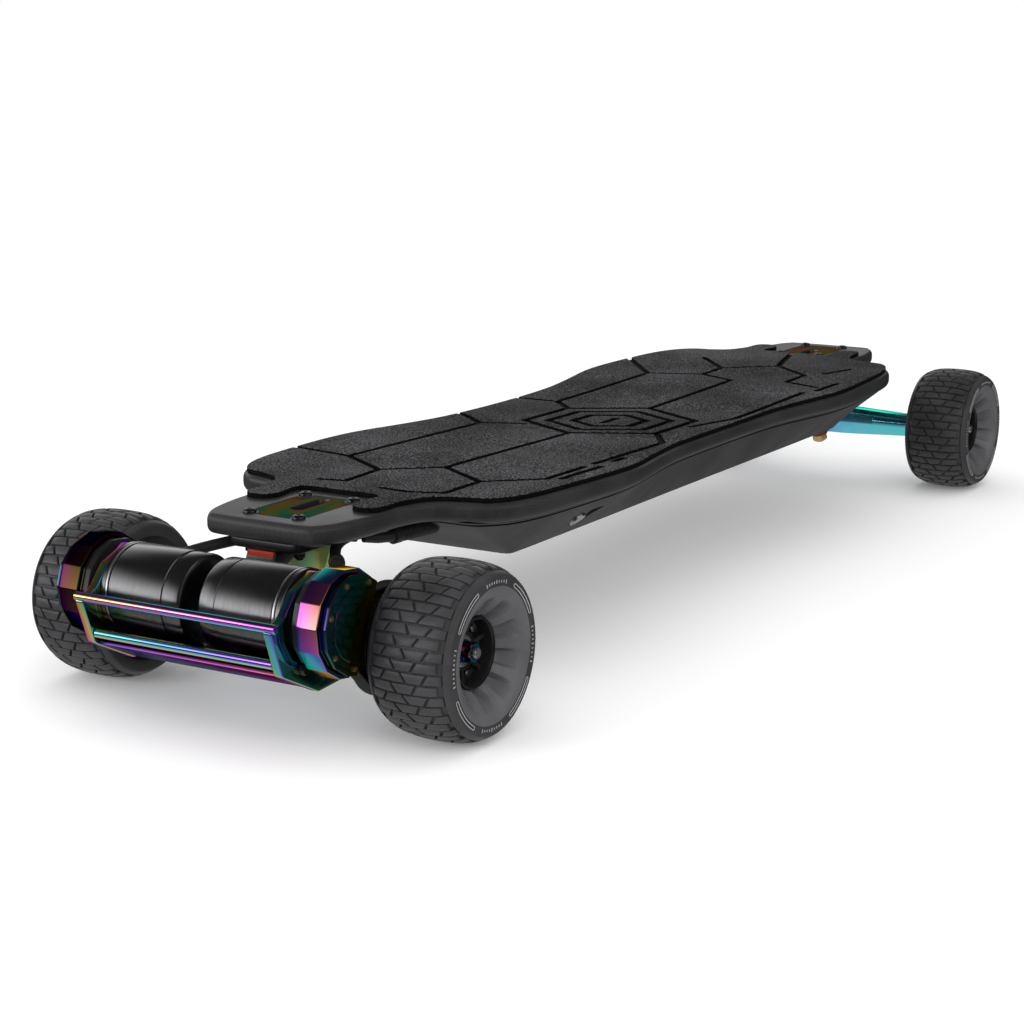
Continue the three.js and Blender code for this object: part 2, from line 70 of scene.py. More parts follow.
STEER_X, STEER_Z, STEER_TILT = 458.0, 58.0, math.radians(27.6)
ENDS = (("front", 1), ("rear", -1))
SIDES = (("left", 1), ("right", -1))


# ---- meshes ----


def turns(count):
    """Angles spread evenly round a full turn."""
    return [2 * math.pi * k / count for k in range(count)]


def bands(count, rows, start=0):
    """Quads between rows of count points each, which are stored one row after another."""
    firsts = [start + row * count for row in range(rows - 1)]
    steps = [(i, (i + 1) % count) for i in range(count)]
    return [(a + i, a + j, a + count + j, a + count + i) for a in firsts for i, j in steps]


class Shape:
    """The vertices and faces of one piece, in millimetres."""

    def __init__(self):
        self.verts = []
        self.faces = []

    def add(self, verts, faces):
        start = len(self.verts)
        self.verts += [tuple(v) for v in verts]
        self.faces += [tuple(start + i for i in face) for face in faces]
        return self

    def skin(self, loops, ring=False):
        """Quads between loops of one length, closed by the two end loops, or onto the first loop if ring."""
        count = len(loops[0])
        last = (len(loops) - 1) * count
        faces = bands(count, len(loops))
        if ring:
            faces += [(last + i, last + (i + 1) % count, (i + 1) % count, i) for i in range(count)]
        else:
            faces += [tuple(reversed(range(count))), tuple(range(last, last + count))]
        return self.add([v for loop in loops for v in loop], faces)

    def lathe(self, profile, origin, axis, segments=72, ring=False):
        """Turns (radius, distance along the axis) pairs about an axis."""
        along = Vector(axis).normalized()
        loops = [round_loop(Vector(origin) + along * out, axis, radius, segments) for radius, out in profile]
        return self.skin(loops, ring)

    def plate(self, outline, low, high, place, edge=0.6, holes=(), hole_edge=None, steps=(3, 3)):
        """A flat solid with rounded edges between two levels; place turns (a, b, level) into a point.

        edge is one radius or a (bottom, top) pair. steps are those of the outer and of the holes' edges.
        """
        contours = [turned_left(outline)] + [turned_left(hole)[::-1] for hole in holes]
        walls = [edge_levels(low, high, edge, steps[0])]
        walls += [edge_levels(low, high, hole_edge or edge, steps[1])] * len(holes)
        for contour, levels in zip(contours, walls):
            rows = [[place(a, b, level) for a, b in inset(contour, depth)] for level, depth in levels]
            self.add([v for row in rows for v in row], bands(len(contour), len(rows)))
        for end in (0, -1):
            level = walls[0][end][0]
            rings = [inset(contour, levels[end][1]) for contour, levels in zip(contours, walls)]
            flat = [[Vector((a, b, 0)) for a, b in ring] for ring in rings]
            self.add([place(a, b, level) for ring in rings for a, b in ring], tessellate_polygon(flat))
        return self

    def tube(self, path, radius, segments=12):
        """A round bar or cable along a smooth path; radius is one number or one for each point."""
        radii = radius if isinstance(radius, (list, tuple)) else [radius] * len(path)
        points = [Vector(p) for p in path]
        side = None
        loops = []
        for i, point in enumerate(points):
            heading = (points[min(i + 1, len(points) - 1)] - points[max(i - 1, 0)]).normalized()
            side = side or heading.orthogonal().normalized()
            side = (side - heading * side.dot(heading)).normalized()
            over = heading.cross(side)
            ring = [side * math.cos(t) + over * math.sin(t) for t in turns(segments)]
            loops.append([point + out * radii[i] for out in ring])
        return self.skin(loops)


def basis(axis):
    along = Vector(axis).normalized()
    helper = Vector((0, 0, 1)) if abs(along.z) < 0.9 else Vector((1, 0, 0))
    across = (helper - along * helper.dot(along)).normalized()
    return along, across, along.cross(across)


def round_loop(centre, axis, radius, count):
    """Points on a circle square to an axis."""
    _, across, over = basis(axis)
    return [Vector(centre) + (across * math.cos(t) + over * math.sin(t)) * radius for t in turns(count)]


def area(points):
    return sum(p[0] * q[1] - q[0] * p[1] for p, q in zip(points, points[1:] + points[:1])) / 2


def turned_left(points):
    points = [tuple(p) for p in points]
    return points if area(points) > 0 else points[::-1]


def inset(points, depth):
    """Moves a closed outline to the left of its own direction."""
    if abs(depth) < 1e-9:
        return list(points)
    moved = []
    for before, here, after in zip(points[-1:] + points[:-1], points, points[1:] + points[:1]):
        first = Vector((before[1] - here[1], here[0] - before[0])).normalized()
        second = Vector((here[1] - after[1], after[0] - here[0])).normalized()
        middle = first + second
        middle = middle.normalized() if middle.length > 1e-6 else first
        stretch = min(1 / max(middle.dot(first), 0.3), 2.0)
        moved.append((here[0] + middle.x * depth * stretch, here[1] + middle.y * depth * stretch))
    return moved


def edge_levels(low, high, edge, steps=3):
    """(level, inset) pairs of a slab's wall, with quarter rounds at the bottom and at the top."""
    bottom, top = edge if isinstance(edge, tuple) else (edge, edge)
    quarter = [math.pi / 2 * k / steps for k in range(steps + 1)]
    wall = [(low + bottom * (1 - math.cos(t)), bottom * (1 - math.sin(t))) for t in quarter]
    return wall + [(high - top * (1 - math.cos(t)), top * (1 - math.sin(t))) for t in reversed(quarter)]


def softened(points, reach, steps=4, closed=True):
    """Replaces each corner of an outline or a profile by a short curve."""
    result = []
    count = len(points)
    for i, point in enumerate(points):
        if not closed and i in (0, count - 1):
            result.append(tuple(point))
            continue
        here = Vector(point)
        back = Vector(points[i - 1]) - here
        on = Vector(points[(i + 1) % count]) - here
        start = here + back.normalized() * min(reach, back.length * 0.48)
        end = here + on.normalized() * min(reach, on.length * 0.48)
        for k in range(steps + 1):
            t = k / steps
            result.append(tuple(start * (1 - t) ** 2 + here * 2 * t * (1 - t) + end * t * t))
    return result


def box_outline(left, right, low, high, soft, steps=2):
    """A rectangle with softened corners: an outline, or the section of a turned ring."""
    return softened([(left, low), (right, low), (right, high), (left, high)], soft, steps)


def circle(a, b, radius, count=32):
    return [(a + radius * math.cos(t), b + radius * math.sin(t)) for t in turns(count)]


def smooth_path(points, steps=8, closed=False):
    """A Catmull-Rom curve through points of any dimension."""
    points = [Vector(p) for p in points]
    count = len(points)
    path = []
    for i in range(count if closed else count - 1):
        near = [i - 1, i, i + 1, i + 2]
        near = [k % count if closed else min(max(k, 0), count - 1) for k in near]
        a, b, c, d = (points[k] for k in near)
        for k in range(steps):
            t = k / steps
            curve = (2 * a - 5 * b + 4 * c - d) * t**2 + (3 * b - a - 3 * c + d) * t**3
            path.append(0.5 * (2 * b + (c - a) * t + curve))
    if not closed:
        path.append(points[-1])
    return [tuple(p) for p in path]


def smooth_step(value, low, high):
    t = min(max((value - low) / (high - low), 0), 1)
    return t * t * (3 - 2 * t)


def level_place(a, b, level):
    return (a, b, level)


def side_place(sign):
    """Plates that stand across the board: a is x, b is z, the level is measured from the centre line."""
    return lambda a, b, level: (a, sign * level, b)


def end_place(end):
    """Plates that face along the board: a is y, b is z, the level is measured from the middle."""
    return lambda a, b, level: (end * level, a, b)


# The deck's top rises gently from the middle toward both ends.
ROCKER_RISE, ROCKER_SAG, ROCKER_REACH, ROCKER_FOOT = 4.2, 1.0, 330.0, 114.0
LONG_PIECE = 0.12  # board pieces longer than this, in metres, are cut across so that they can follow the rise


def rocker(x, z):
    """How far a point fixed to the board is lifted by the deck's slight curve."""
    share = min(max((z - ROCKER_FOOT) / (DECK_HIGH - ROCKER_FOOT), 0), 1)
    return (ROCKER_RISE * smooth_step(abs(x), 0, ROCKER_REACH) - ROCKER_SAG) * share


def sliced(work, low, high, step=0.04):
    """Cuts a mesh across at even distances so that it can follow the deck's curve."""
    for cut in np.arange(math.ceil(low / step) * step, high, step):
        geometry = work.verts[:] + work.edges[:] + work.faces[:]
        bmesh.ops.bisect_plane(work, geom=geometry, dist=1e-7, plane_co=(cut, 0, 0), plane_no=(1, 0, 0))


def linked(name, mesh):
    made = bpy.data.objects.new(name, mesh)
    bpy.context.scene.collection.objects.link(made)
    return made


def mesh_of(name, shape):
    """A shape as a mesh in the frame's metres, with the open edit of that mesh."""
    mesh = bpy.data.meshes.new(name)
    mesh.from_pydata([((x + SHIFT) * MM, y * MM, z * MM) for x, y, z in shape.verts], [], shape.faces)
    work = bmesh.new()
    work.from_mesh(mesh)
    bmesh.ops.remove_doubles(work, verts=work.verts, dist=2e-6)
    bmesh.ops.dissolve_degenerate(work, edges=work.edges, dist=1e-6)
    bmesh.ops.recalc_face_normals(work, faces=work.faces)
    return mesh, work


def shade(mesh, sharp):
    mesh.shade_smooth()
    mesh.set_sharp_from_angle(angle=math.radians(sharp))


def piece(name, shape, surface, body, replaces=(), sharp=32):
    """Makes a Blender object from a shape, rides it on its body and hides the frame's parts that it stands
    for.
    """
    mesh, work = mesh_of(name, shape)
    if body in ("board", "button", None):
        xs = [v.co.x for v in work.verts]
        if max(xs) - min(xs) > LONG_PIECE:
            sliced(work, min(xs), max(xs))
        for vert in work.verts:
            vert.co.z += rocker(vert.co.x / MM - SHIFT, vert.co.z / MM) * MM
    work.to_mesh(mesh)
    work.free()
    shade(mesh, sharp)
    mesh.materials.append(surface)
    made = linked(name, mesh)
    if body:
        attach(made, body)
    if replaces:
        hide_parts(*replaces)
    return made


# ---- materials ----


class Nodes:
    """Short calls for building a material's node tree."""

    def __init__(self, name):
        self.material = bpy.data.materials.new(name)
        self.material.use_nodes = True
        self.tree = self.material.node_tree
        self.shader = self.tree.nodes["Principled BSDF"]

    def fill(self, target, value):
        if isinstance(value, bpy.types.NodeSocket):
            self.tree.links.new(value, target)
        else:
            target.default_value = value

    def add(self, kind, inputs=None, **settings):
        node = self.tree.nodes.new(kind)
        for key, value in settings.items():
            setattr(node, key, value)
        for key, value in (inputs or {}).items():
            self.fill(node.inputs[key], value)
        return node

    def set(self, **inputs):
        for key, value in inputs.items():
            self.fill(self.shader.inputs[key.replace("_", " ")], value)

    def place(self):
        return self.add("ShaderNodeTexCoord").outputs["Object"]

    def split(self, vector):
        return self.add("ShaderNodeSeparateXYZ", {"Vector": vector}).outputs

    def math(self, operation, *values):
        return self.add("ShaderNodeMath", dict(enumerate(values)), operation=operation).outputs[0]

    def plus(self, *values):
        total = values[0]
        for value in values[1:]:
            total = self.math("ADD", total, value)
        return total

    def times(self, *values):
        total = values[0]
        for value in values[1:]:
            total = self.math("MULTIPLY", total, value)
        return total

    def noise(self, scale, detail=3.0, vector=None, roughness=0.6):
        inputs = {"Vector": vector or self.place(), "Scale": scale, "Detail": detail, "Roughness": roughness}
        return self.add("ShaderNodeTexNoise", inputs).outputs["Fac"]

    def ramp(self, factor, *stops):
        node = self.add("ShaderNodeValToRGB", {"Fac": factor})
        elements = node.color_ramp.elements
        while len(elements) < len(stops):
            elements.new(0.5)
        for element, (position, color) in zip(elements, stops):
            element.position = position
            element.color = (*color, 1)
        return node.outputs["Color"]

    def grey(self, factor, low, high, start=0.3, end=0.7, **settings):
        inputs = {"Value": factor, "From Min": start, "From Max": end, "To Min": low, "To Max": high}
        return self.add("ShaderNodeMapRange", inputs, **settings).outputs["Result"]

    def bump(self, height, distance, strength=1.0):
        node = self.add("ShaderNodeBump", {"Height": height, "Distance": distance, "Strength": strength})
        self.tree.links.new(node.outputs["Normal"], self.shader.inputs["Normal"])


COOL = (1, 1, 1.06)  # the tint of every black surface
WEAVE = 0.0042  # width of the twill's threads, in metres


def tinted(nodes, factor, low, high, start=0.3, end=0.7):
    """A dark neutral whose brightness runs from low to high with a texture."""
    stops = [(at, tuple(value * c for c in COOL)) for at, value in ((start, low), (end, high))]
    return nodes.ramp(factor, *stops)


def dimmed(nodes, factor, color, share):
    """A colour that falls to a share of itself with a texture."""
    return nodes.ramp(factor, (0.3, tuple(c * share for c in color)), (0.7, color))


def carbon_material(name, low, high, gloss=0.45):
    """Satin black composite: a faint twill weave under the paint."""
    n = Nodes(name)
    spot = n.place()
    x, y, z = n.split(spot)
    first = n.math("SINE", n.times(n.plus(x, z), 2 * math.pi / WEAVE))
    second = n.math("SINE", n.times(n.math("SUBTRACT", n.plus(x, y), z), 2 * math.pi / WEAVE))
    weave = n.times(first, second)
    fine = n.noise(420, 4, spot)
    patch = n.noise(16, 3, spot)
    n.set(Base_Color=tinted(n, n.plus(n.times(weave, 0.12), patch), low, high))
    n.set(Roughness=n.grey(patch, 0.36, 0.5), Specular_IOR_Level=gloss)
    n.bump(n.plus(n.times(weave, 0.4), n.times(fine, 1.2)), 0.00012, 0.5)
    return n.material


def foam_material(name, low, high):
    """Grip foam: dense coarse grain with lighter specks."""
    n = Nodes(name)
    spot = n.place()
    grain = n.noise(680, 2, spot, 0.7)
    cells = n.add("ShaderNodeTexVoronoi", {"Vector": spot, "Scale": 900.0}).outputs["Distance"]
    mixed = n.plus(n.times(grain, 0.8), n.times(n.noise(9, 3, spot), 0.2))
    n.set(Base_Color=tinted(n, mixed, low, high, 0.47, 0.62), Roughness=0.9, Specular_IOR_Level=0.25)
    n.bump(n.math("SUBTRACT", grain, n.times(cells, 0.5)), 0.0006, 0.7)
    return n.material


def rubber_material(name, low, high, roughness):
    """Moulded rubber with a bloom and fine pores."""
    n = Nodes(name)
    spot = n.place()
    patch = n.noise(28, 4, spot)
    n.set(Base_Color=tinted(n, patch, low, high), Specular_IOR_Level=0.45)
    n.set(Roughness=n.grey(patch, roughness - 0.07, roughness + 0.1))
    n.bump(n.noise(900, 2, spot), 0.0002, 0.35)
    return n.material


def plastic_material(name, color, roughness):
    """Moulded plastic with a fine grain."""
    n = Nodes(name)
    spot = n.place()
    patch = n.noise(40, 3, spot)
    n.set(Base_Color=dimmed(n, patch, color, 0.75), Roughness=n.grey(patch, roughness, roughness + 0.12))
    n.bump(n.noise(300, 3, spot), 0.00006, 0.5)
    return n.material


def brushed_material(name, color, roughness, axis_scale=(1, 1, 1)):
    """Metal with fine lines; axis_scale is small along the direction the lines run."""
    n = Nodes(name)
    stretched = n.add("ShaderNodeMapping", {"Vector": n.place(), "Scale": axis_scale}).outputs["Vector"]
    lines = n.noise(1400, 3, stretched)
    n.set(Base_Color=dimmed(n, lines, color, 0.8), Metallic=1.0)
    n.set(Roughness=n.grey(n.noise(20, 2), roughness, roughness + 0.08))
    n.bump(lines, 0.00003, 0.5)
    return n.material


FILM = (
    (0.00, (0.95, 0.62, 0.16)), (0.10, (0.98, 0.42, 0.22)), (0.20, (0.95, 0.28, 0.48)),
    (0.32, (0.72, 0.14, 0.66)), (0.44, (0.30, 0.14, 0.72)), (0.55, (0.12, 0.26, 0.78)),
    (0.66, (0.16, 0.62, 0.80)), (0.78, (0.10, 0.72, 0.56)), (0.89, (0.42, 0.74, 0.30)),
    (1.00, (0.95, 0.62, 0.16)),
)
PALE = 0.4  # the grey that a washed film runs toward


def film_material(name, phase, along=0.0, spread=1.3, roughness=0.14, level=1.0, metal=1.0, wash=0.0):
    """Polished metal under a rainbow film: the hue runs with the viewing angle and along the part."""
    n = Nodes(name)
    spot = n.place()
    shape = n.add("ShaderNodeNewGeometry").outputs
    directions = {0: shape["Normal"], 1: shape["Incoming"]}
    facing = n.add("ShaderNodeVectorMath", directions, operation="DOT_PRODUCT").outputs["Value"]
    slope = n.times(n.math("SUBTRACT", 1.0, n.math("ABSOLUTE", facing)), spread)
    drift = n.times(n.split(spot)["Y"], along)
    cloud = n.times(n.math("SUBTRACT", n.noise(22, 2, spot), 0.5), 0.16)
    hue = n.math("FRACT", n.plus(slope, drift, cloud, phase + 4.0))
    stops = [(at, tuple(level * (c * (1 - wash) + PALE * wash) for c in rgb)) for at, rgb in FILM]
    color = n.ramp(hue, *stops)
    n.set(Base_Color=color, Specular_Tint=color, Metallic=metal)
    n.set(Roughness=n.grey(n.noise(60, 3, spot), roughness - 0.04, roughness + 0.05))
    n.bump(n.noise(500, 2, spot), 0.00002, 0.3)
    return n.material


carbon = carbon_material("satin_carbon", 0.02, 0.035)
# A darker, less glossy copy of the deck's carbon for the enclosure: the darker tone is painted shade on its
# walls.
shell_carbon_shaded = carbon_material("enclosure_carbon_shaded", 0.01, 0.018, 0.3)
foam = foam_material("grip_foam", 0.003, 0.14)
# Near-black foam for the sheet under the pads and for the pads' walls: painted shade in the grooves.
groove_shade_foam = foam_material("groove_shade_foam", 0.001, 0.004)
tread_rubber = rubber_material("tread_rubber", 0.028, 0.056, 0.4)
dish_urethane = rubber_material("dish_urethane", 0.095, 0.14, 0.34)
belt_rubber = rubber_material("belt_rubber", 0.008, 0.016, 0.7)
cable_rubber = rubber_material("cable_rubber", 0.012, 0.024, 0.5)
red_urethane = plastic_material("red_urethane", (0.30, 0.03, 0.02), 0.35)
hub_plastic = plastic_material("hub_plastic", (0.012, 0.012, 0.013), 0.28)
white_print = plastic_material("white_print", (0.62, 0.62, 0.64), 0.5)
wrap_film = plastic_material("wrap_film", (0.02, 0.06, 0.22), 0.3)
shim_red = plastic_material("shim_red", (0.36, 0.035, 0.01), 0.3)
anodised = brushed_material("black_anodised", (0.2, 0.2, 0.205), 0.2, (0.05, 1, 0.05))
dark_steel = brushed_material("black_oxide_steel", (0.10, 0.10, 0.105), 0.3)
bright_steel = brushed_material("bright_steel", (0.62, 0.62, 0.64), 0.22, (0.1, 1, 0.1))
brass = brushed_material("brass_plating", (0.75, 0.55, 0.24), 0.28)
film_housing = film_material("film_housing", -0.20, -1.65, spread=1.35, level=0.85)
# A darker copy of the right case's film, for the left case: painted shade.
left_housing_film_shaded = film_material("left_housing_film_shaded", -0.12, -1.2, spread=1.35, level=0.11)
film_mount = film_material("film_mount", 0.38, 1.62)
film_cover = film_material("film_cover", 0.26, level=0.3)
film_upper_rod = film_material("film_upper_rod", -0.10, -2.4, roughness=0.1, level=1.5)
film_lower_rod = film_material("film_lower_rod", 0.24, 1.25, roughness=0.1, level=1.4)
film_bar = film_material("film_bar", 0.30, 1.8, spread=0.15, roughness=0.2, level=0.45)
film_pad = film_material("film_pad", -0.1, roughness=0.4, level=0.42, wash=0.6)
# Matte and brighter than the other films: painted light on the web, which sits in the shade under the deck.
web_film_painted_light = film_material("web_film_painted_light", 0.88, spread=0.25, roughness=0.5, level=1.2, metal=0.0)
film_hanger = film_material("film_hanger", 0.57, -1.2, spread=0.15, level=1.3)
film_nut = film_material("film_nut", 0.0, level=0.5)


# ---- deck and grip mat ----

DECK_QUARTER = [
    (492, 0), (491, 38), (485.5, 47), (471, 54), (442, 59.5), (408, 61.5), (387, 67.5), (378, 80),
    (372, 100), (362, 113), (345, 122), (318, 128), (273, 132), (228, 134.5), (190, 133), (140, 124),
    (95, 117.5), (50, 115.5), (0, 115),
]
NECK_X = 385  # the deck's side is a single curve between its two necks


def fourfold(quarter):
    """Mirrors a quarter of an outline, from the x axis to the y axis, into a closed outline."""
    half = quarter + [(-x, y) for x, y in quarter[-2::-1]]
    return half + [(x, -y) for x, y in half[-2:0:-1]]


DECK_EDGE = smooth_path(fourfold(DECK_QUARTER), 6, closed=True)


def deck_half_width(x):
    side = sorted(p for p in DECK_EDGE if p[1] > 0 and abs(p[0]) < NECK_X)
    return float(np.interp(x, [p[0] for p in side], [p[1] for p in side]))


LAND = 6.5  # radius of the deck left round a bolt


def window(end, margin):
    """The opening over a truck, whose corners leave a round land under each bolt."""
    reach = LAND + margin
    over, beside = 24 - margin - BOLT_HALF_WIDTH, 35 - margin - BOLT_HALF_LENGTH
    start = math.atan2(over, -math.sqrt(reach**2 - over**2))
    stop = math.atan2(-math.sqrt(reach**2 - beside**2), beside) + 2 * math.pi
    corner = [stop + (start - stop) * k / 8 for k in range(9)]
    corner = [(BOLT_HALF_LENGTH + reach * math.cos(t), BOLT_HALF_WIDTH + reach * math.sin(t)) for t in corner]
    back = corner[::-1]
    loop = corner + [(-u, v) for u, v in back] + [(-u, -v) for u, v in corner] + [(u, -v) for u, v in back]
    return [(end * BOLT_X + u, v) for u, v in loop]


def bolt_places(end):
    return [(end * (BOLT_X + u * BOLT_HALF_LENGTH), v * BOLT_HALF_WIDTH) for u in (-1, 1) for v in (-1, 1)]


def build_deck():
    holes = [window(end, 0.0) for _, end in ENDS]
    for _, end in ENDS:
        holes += [circle(x, y, 2.9, 16) for x, y in bolt_places(end)]
    edges = {"edge": (5.0, 4.2), "hole_edge": (0.3, 0.5), "steps": (6, 2)}
    shape = Shape().plate(DECK_EDGE, DECK_LOW, DECK_HIGH, level_place, holes=holes, **edges)
    piece("deck_shell", shape, carbon, "board", ["deck"], sharp=50)


def mat_outline():
    lobe = [
        (394, 30), (399, 35), (412, 34.5), (422, 33), (431, 35.5), (435, 42), (435, 50), (430, 56),
        (420, 57.5), (406, 58), (388, 63.5), (379, 71), (373, 84),
    ]
    side = [(x, deck_half_width(x) - MAT_INSET) for x in np.linspace(367, 0, 60)]
    return fourfold([(394, 0)] + smooth_path(lobe, 4) + side)


# Grooves of the mat, cut along long hexagons. Rows are the lines that run along the board.
ROW_TOP, ROW_MIDDLE, ROW_BOTTOM = 69, -19, -105
HALF_TOP, HALF_MIDDLE, HALF_BOTTOM = 106, 19, -69
REAR_COLUMN, REAR_APEX, REAR_END = -287, -320, -366
FRONT_COLUMN, FRONT_APEX, FRONT_END = 206, 224, 265
MOTIF_X, MOTIF_Y, MOTIF_RADIUS = -30, -18, 74
GROOVE_HALF, MOTIF_HALF = 2.9, 3.6
MAT_STEP, MAT_REACH_X, MAT_REACH_Y = 1.0, 440.0, 140.0  # the grid on which the pads are worked out
SMALLEST_PAD = 12  # square millimetres


def hexagon(radius):
    """A closed hexagon round the middle of the motif."""
    ring = circle(MOTIF_X, MOTIF_Y, radius, 6)
    return ring + ring[:1]


def groove_lines():
    """(points, half width) of each groove."""
    left, right = MOTIF_X - MOTIF_RADIUS, MOTIF_X + MOTIF_RADIUS
    lines = [
        [
            (REAR_COLUMN + 12, 140), (REAR_COLUMN, ROW_TOP), (REAR_APEX, HALF_MIDDLE),
            (REAR_COLUMN, ROW_MIDDLE), (REAR_APEX, HALF_BOTTOM), (REAR_COLUMN, ROW_BOTTOM),
        ],
        [(REAR_COLUMN, ROW_TOP), (-98, ROW_TOP), (-66, HALF_TOP), (-60, 140)],
        [(REAR_COLUMN, ROW_MIDDLE), (left, ROW_MIDDLE)],
        [(REAR_COLUMN, ROW_BOTTOM), (-230, ROW_BOTTOM)],
        [(-215, ROW_BOTTOM), (-102, ROW_BOTTOM), (-70, -84)],
        [(-98, ROW_TOP), (-82, 36)],
        [(REAR_APEX, HALF_MIDDLE), (REAR_END, HALF_MIDDLE - 3), (-371, 36)],
        [(REAR_APEX, HALF_BOTTOM), (REAR_END, HALF_BOTTOM), (-376, -44), (-374, -20)],
        [(33, 140), (33, ROW_TOP), (FRONT_COLUMN, ROW_TOP), (282, 130), (290, 145)],
        [(33, ROW_TOP), (8, 44)],
        [
            (right, ROW_MIDDLE), (FRONT_COLUMN, ROW_MIDDLE), (FRONT_APEX, HALF_MIDDLE),
            (FRONT_COLUMN, ROW_TOP),
        ],
        [
            (FRONT_APEX, HALF_MIDDLE), (FRONT_END, HALF_MIDDLE), (303, -24), (FRONT_END - 3, HALF_BOTTOM),
            (FRONT_APEX - 3, HALF_BOTTOM), (FRONT_COLUMN, ROW_BOTTOM),
        ],
        [(FRONT_END, HALF_MIDDLE), (318, 64)],
        [(303, -24), (396, 2)],
        [(-22, -90), (34, ROW_BOTTOM), (176, ROW_BOTTOM)],
        [(278, -82), (316, -93)],
        [(-280, -114), (-222, -115)],
        [(-198, -112), (-180, -112)],
        [(190, -112), (232, -114)],
    ]
    grooves = [(line, GROOVE_HALF) for line in lines]
    grooves += [(hexagon(radius), MOTIF_HALF) for radius in (MOTIF_RADIUS - 2, 52, 31)]
    grooves.append(([(MOTIF_X - 12, MOTIF_Y), (MOTIF_X + 12, MOTIF_Y)], 3.2))
    return grooves


def distance_to_line(x, y, points):
    """Distance from every grid point to a polyline."""
    nearest = np.full(x.shape, 1e9)
    for (ax, ay), (bx, by) in zip(points, points[1:]):
        dx, dy = bx - ax, by - ay
        share = np.clip(((x - ax) * dx + (y - ay) * dy) / max(dx * dx + dy * dy, 1e-9), 0, 1)
        nearest = np.minimum(nearest, np.hypot(x - ax - share * dx, y - ay - share * dy))
    return nearest


def inside_mask(x, y, outline):
    crossings = np.zeros(x.shape, bool)
    for (ax, ay), (bx, by) in zip(outline, outline[1:] + outline[:1]):
        if ay != by:
            crossings ^= ((ay > y) != (by > y)) & (x < ax + (y - ay) * (bx - ax) / (by - ay))
    return crossings


def level_loops(field, x0, y0, step):
    """Closed outlines of the area where a sampled field is positive, with that area on the left."""
    positive = field > 0
    code = positive[:-1, :-1] * 1 + positive[:-1, 1:] * 2 + positive[1:, 1:] * 4 + positive[1:, :-1] * 8
    follow, spots = {}, {}

    def crossing(i, j, vertical):
        key = (i, j, vertical)
        if key not in spots:
            a = field[i, j]
            b = field[i + 1, j] if vertical else field[i, j + 1]
            t = float(a / (a - b))
            spots[key] = (x0 + (j + (0 if vertical else t)) * step, y0 + (i + (t if vertical else 0)) * step)
        return key

    # Each case lists (from, to) cell sides, counted bottom 0, right 1, top 2, left 3.
    cases = {
        1: [(0, 3)], 2: [(1, 0)], 3: [(1, 3)], 4: [(2, 1)], 5: [(0, 1), (2, 3)], 6: [(2, 0)],
        7: [(2, 3)], 8: [(3, 2)], 9: [(0, 2)], 10: [(3, 0), (1, 2)], 11: [(1, 2)], 12: [(3, 1)],
        13: [(0, 1)], 14: [(3, 0)],
    }
    for i, j in zip(*np.nonzero((code > 0) & (code < 15))):
        i, j = int(i), int(j)
        sides = ((i, j, False), (i, j + 1, True), (i + 1, j, False), (i, j, True))
        for start, end in cases[int(code[i, j])]:
            follow[crossing(*sides[start])] = crossing(*sides[end])
    loops = []
    while follow:
        first, here = follow.popitem()
        loop = [spots[first]]
        while here != first:
            loop.append(spots[here])
            here = follow.pop(here)
        loops.append(loop)
    return loops


def thinned(loop, tolerance):
    """Drops the points of a closed outline that lie on the line between their neighbours."""
    points = np.array(loop)
    far = int(np.argmax(np.hypot(*(points - points[0]).T)))
    keep = {0, far}
    stack = [(0, far), (far, len(points))]
    while stack:
        a, b = stack.pop()
        if b - a < 2:
            continue
        start = points[a]
        chord = points[b % len(points)] - start
        between = points[a + 1 : b] - start
        length = max(float(np.hypot(*chord)), 1e-9)
        offsets = np.abs(between[:, 0] * chord[1] - between[:, 1] * chord[0]) / length
        worst = int(np.argmax(offsets))
        if offsets[worst] > tolerance:
            keep.add(a + 1 + worst)
            stack += [(a, a + 1 + worst), (a + 1 + worst, b)]
    return [tuple(map(float, points[i])) for i in sorted(keep)]


def encloses(outline, loop):
    x, y = np.array([loop[0][0]]), np.array([loop[0][1]])
    return bool(inside_mask(x, y, outline)[0])


def pad_outlines():
    """(outline, holes) of every pad: what the grooves leave of the mat."""
    outline = mat_outline()
    columns = np.arange(-MAT_REACH_X, MAT_REACH_X + 1, MAT_STEP)
    rows = np.arange(-MAT_REACH_Y, MAT_REACH_Y + 1, MAT_STEP)
    x, y = np.meshgrid(columns, rows)
    border = distance_to_line(x, y, outline + outline[:1])
    field = np.where(inside_mask(x, y, outline), border, -border) - 0.15
    for line, half in groove_lines():
        field = np.minimum(field, distance_to_line(x, y, line) - half)
    loops = level_loops(field, -MAT_REACH_X, -MAT_REACH_Y, MAT_STEP)
    loops = [thinned(loop, 0.05) for loop in loops if abs(area(loop)) > SMALLEST_PAD]
    outers = [loop for loop in loops if area(loop) > 0]
    for outer in outers:
        inner = [loop for loop in loops if loop is not outer and encloses(outer, loop)]
        islands = [loop for loop in inner if area(loop) > 0]
        holes = [loop for loop in inner if area(loop) < 0]
        yield outer, [hole for hole in holes if not any(encloses(island, hole) for island in islands)]


UPRIGHT = 0.45  # walls of the pads, whose normals are nearly level, are darker than their tops: painted shade


def build_mat():
    # The sheet shows through the grooves; its near-black foam is painted shade.
    sheet = Shape().plate(mat_outline(), MAT_LOW, MAT_SHEET, level_place, 0.2)
    piece("grip_mat_sheet", sheet, groove_shade_foam, "board", ["grip_mat"])
    pads = Shape()
    for outline, holes in pad_outlines():
        pads.plate(outline, MAT_SHEET - 0.2, MAT_HIGH, level_place, (0.01, 0.55), holes)
    made = piece("grip_mat_pads", pads, foam, "board")
    made.data.materials.append(groove_shade_foam)
    for face in made.data.polygons:
        if abs(face.normal.z) < UPRIGHT:
            face.material_index = 1


# ---- battery enclosure ----

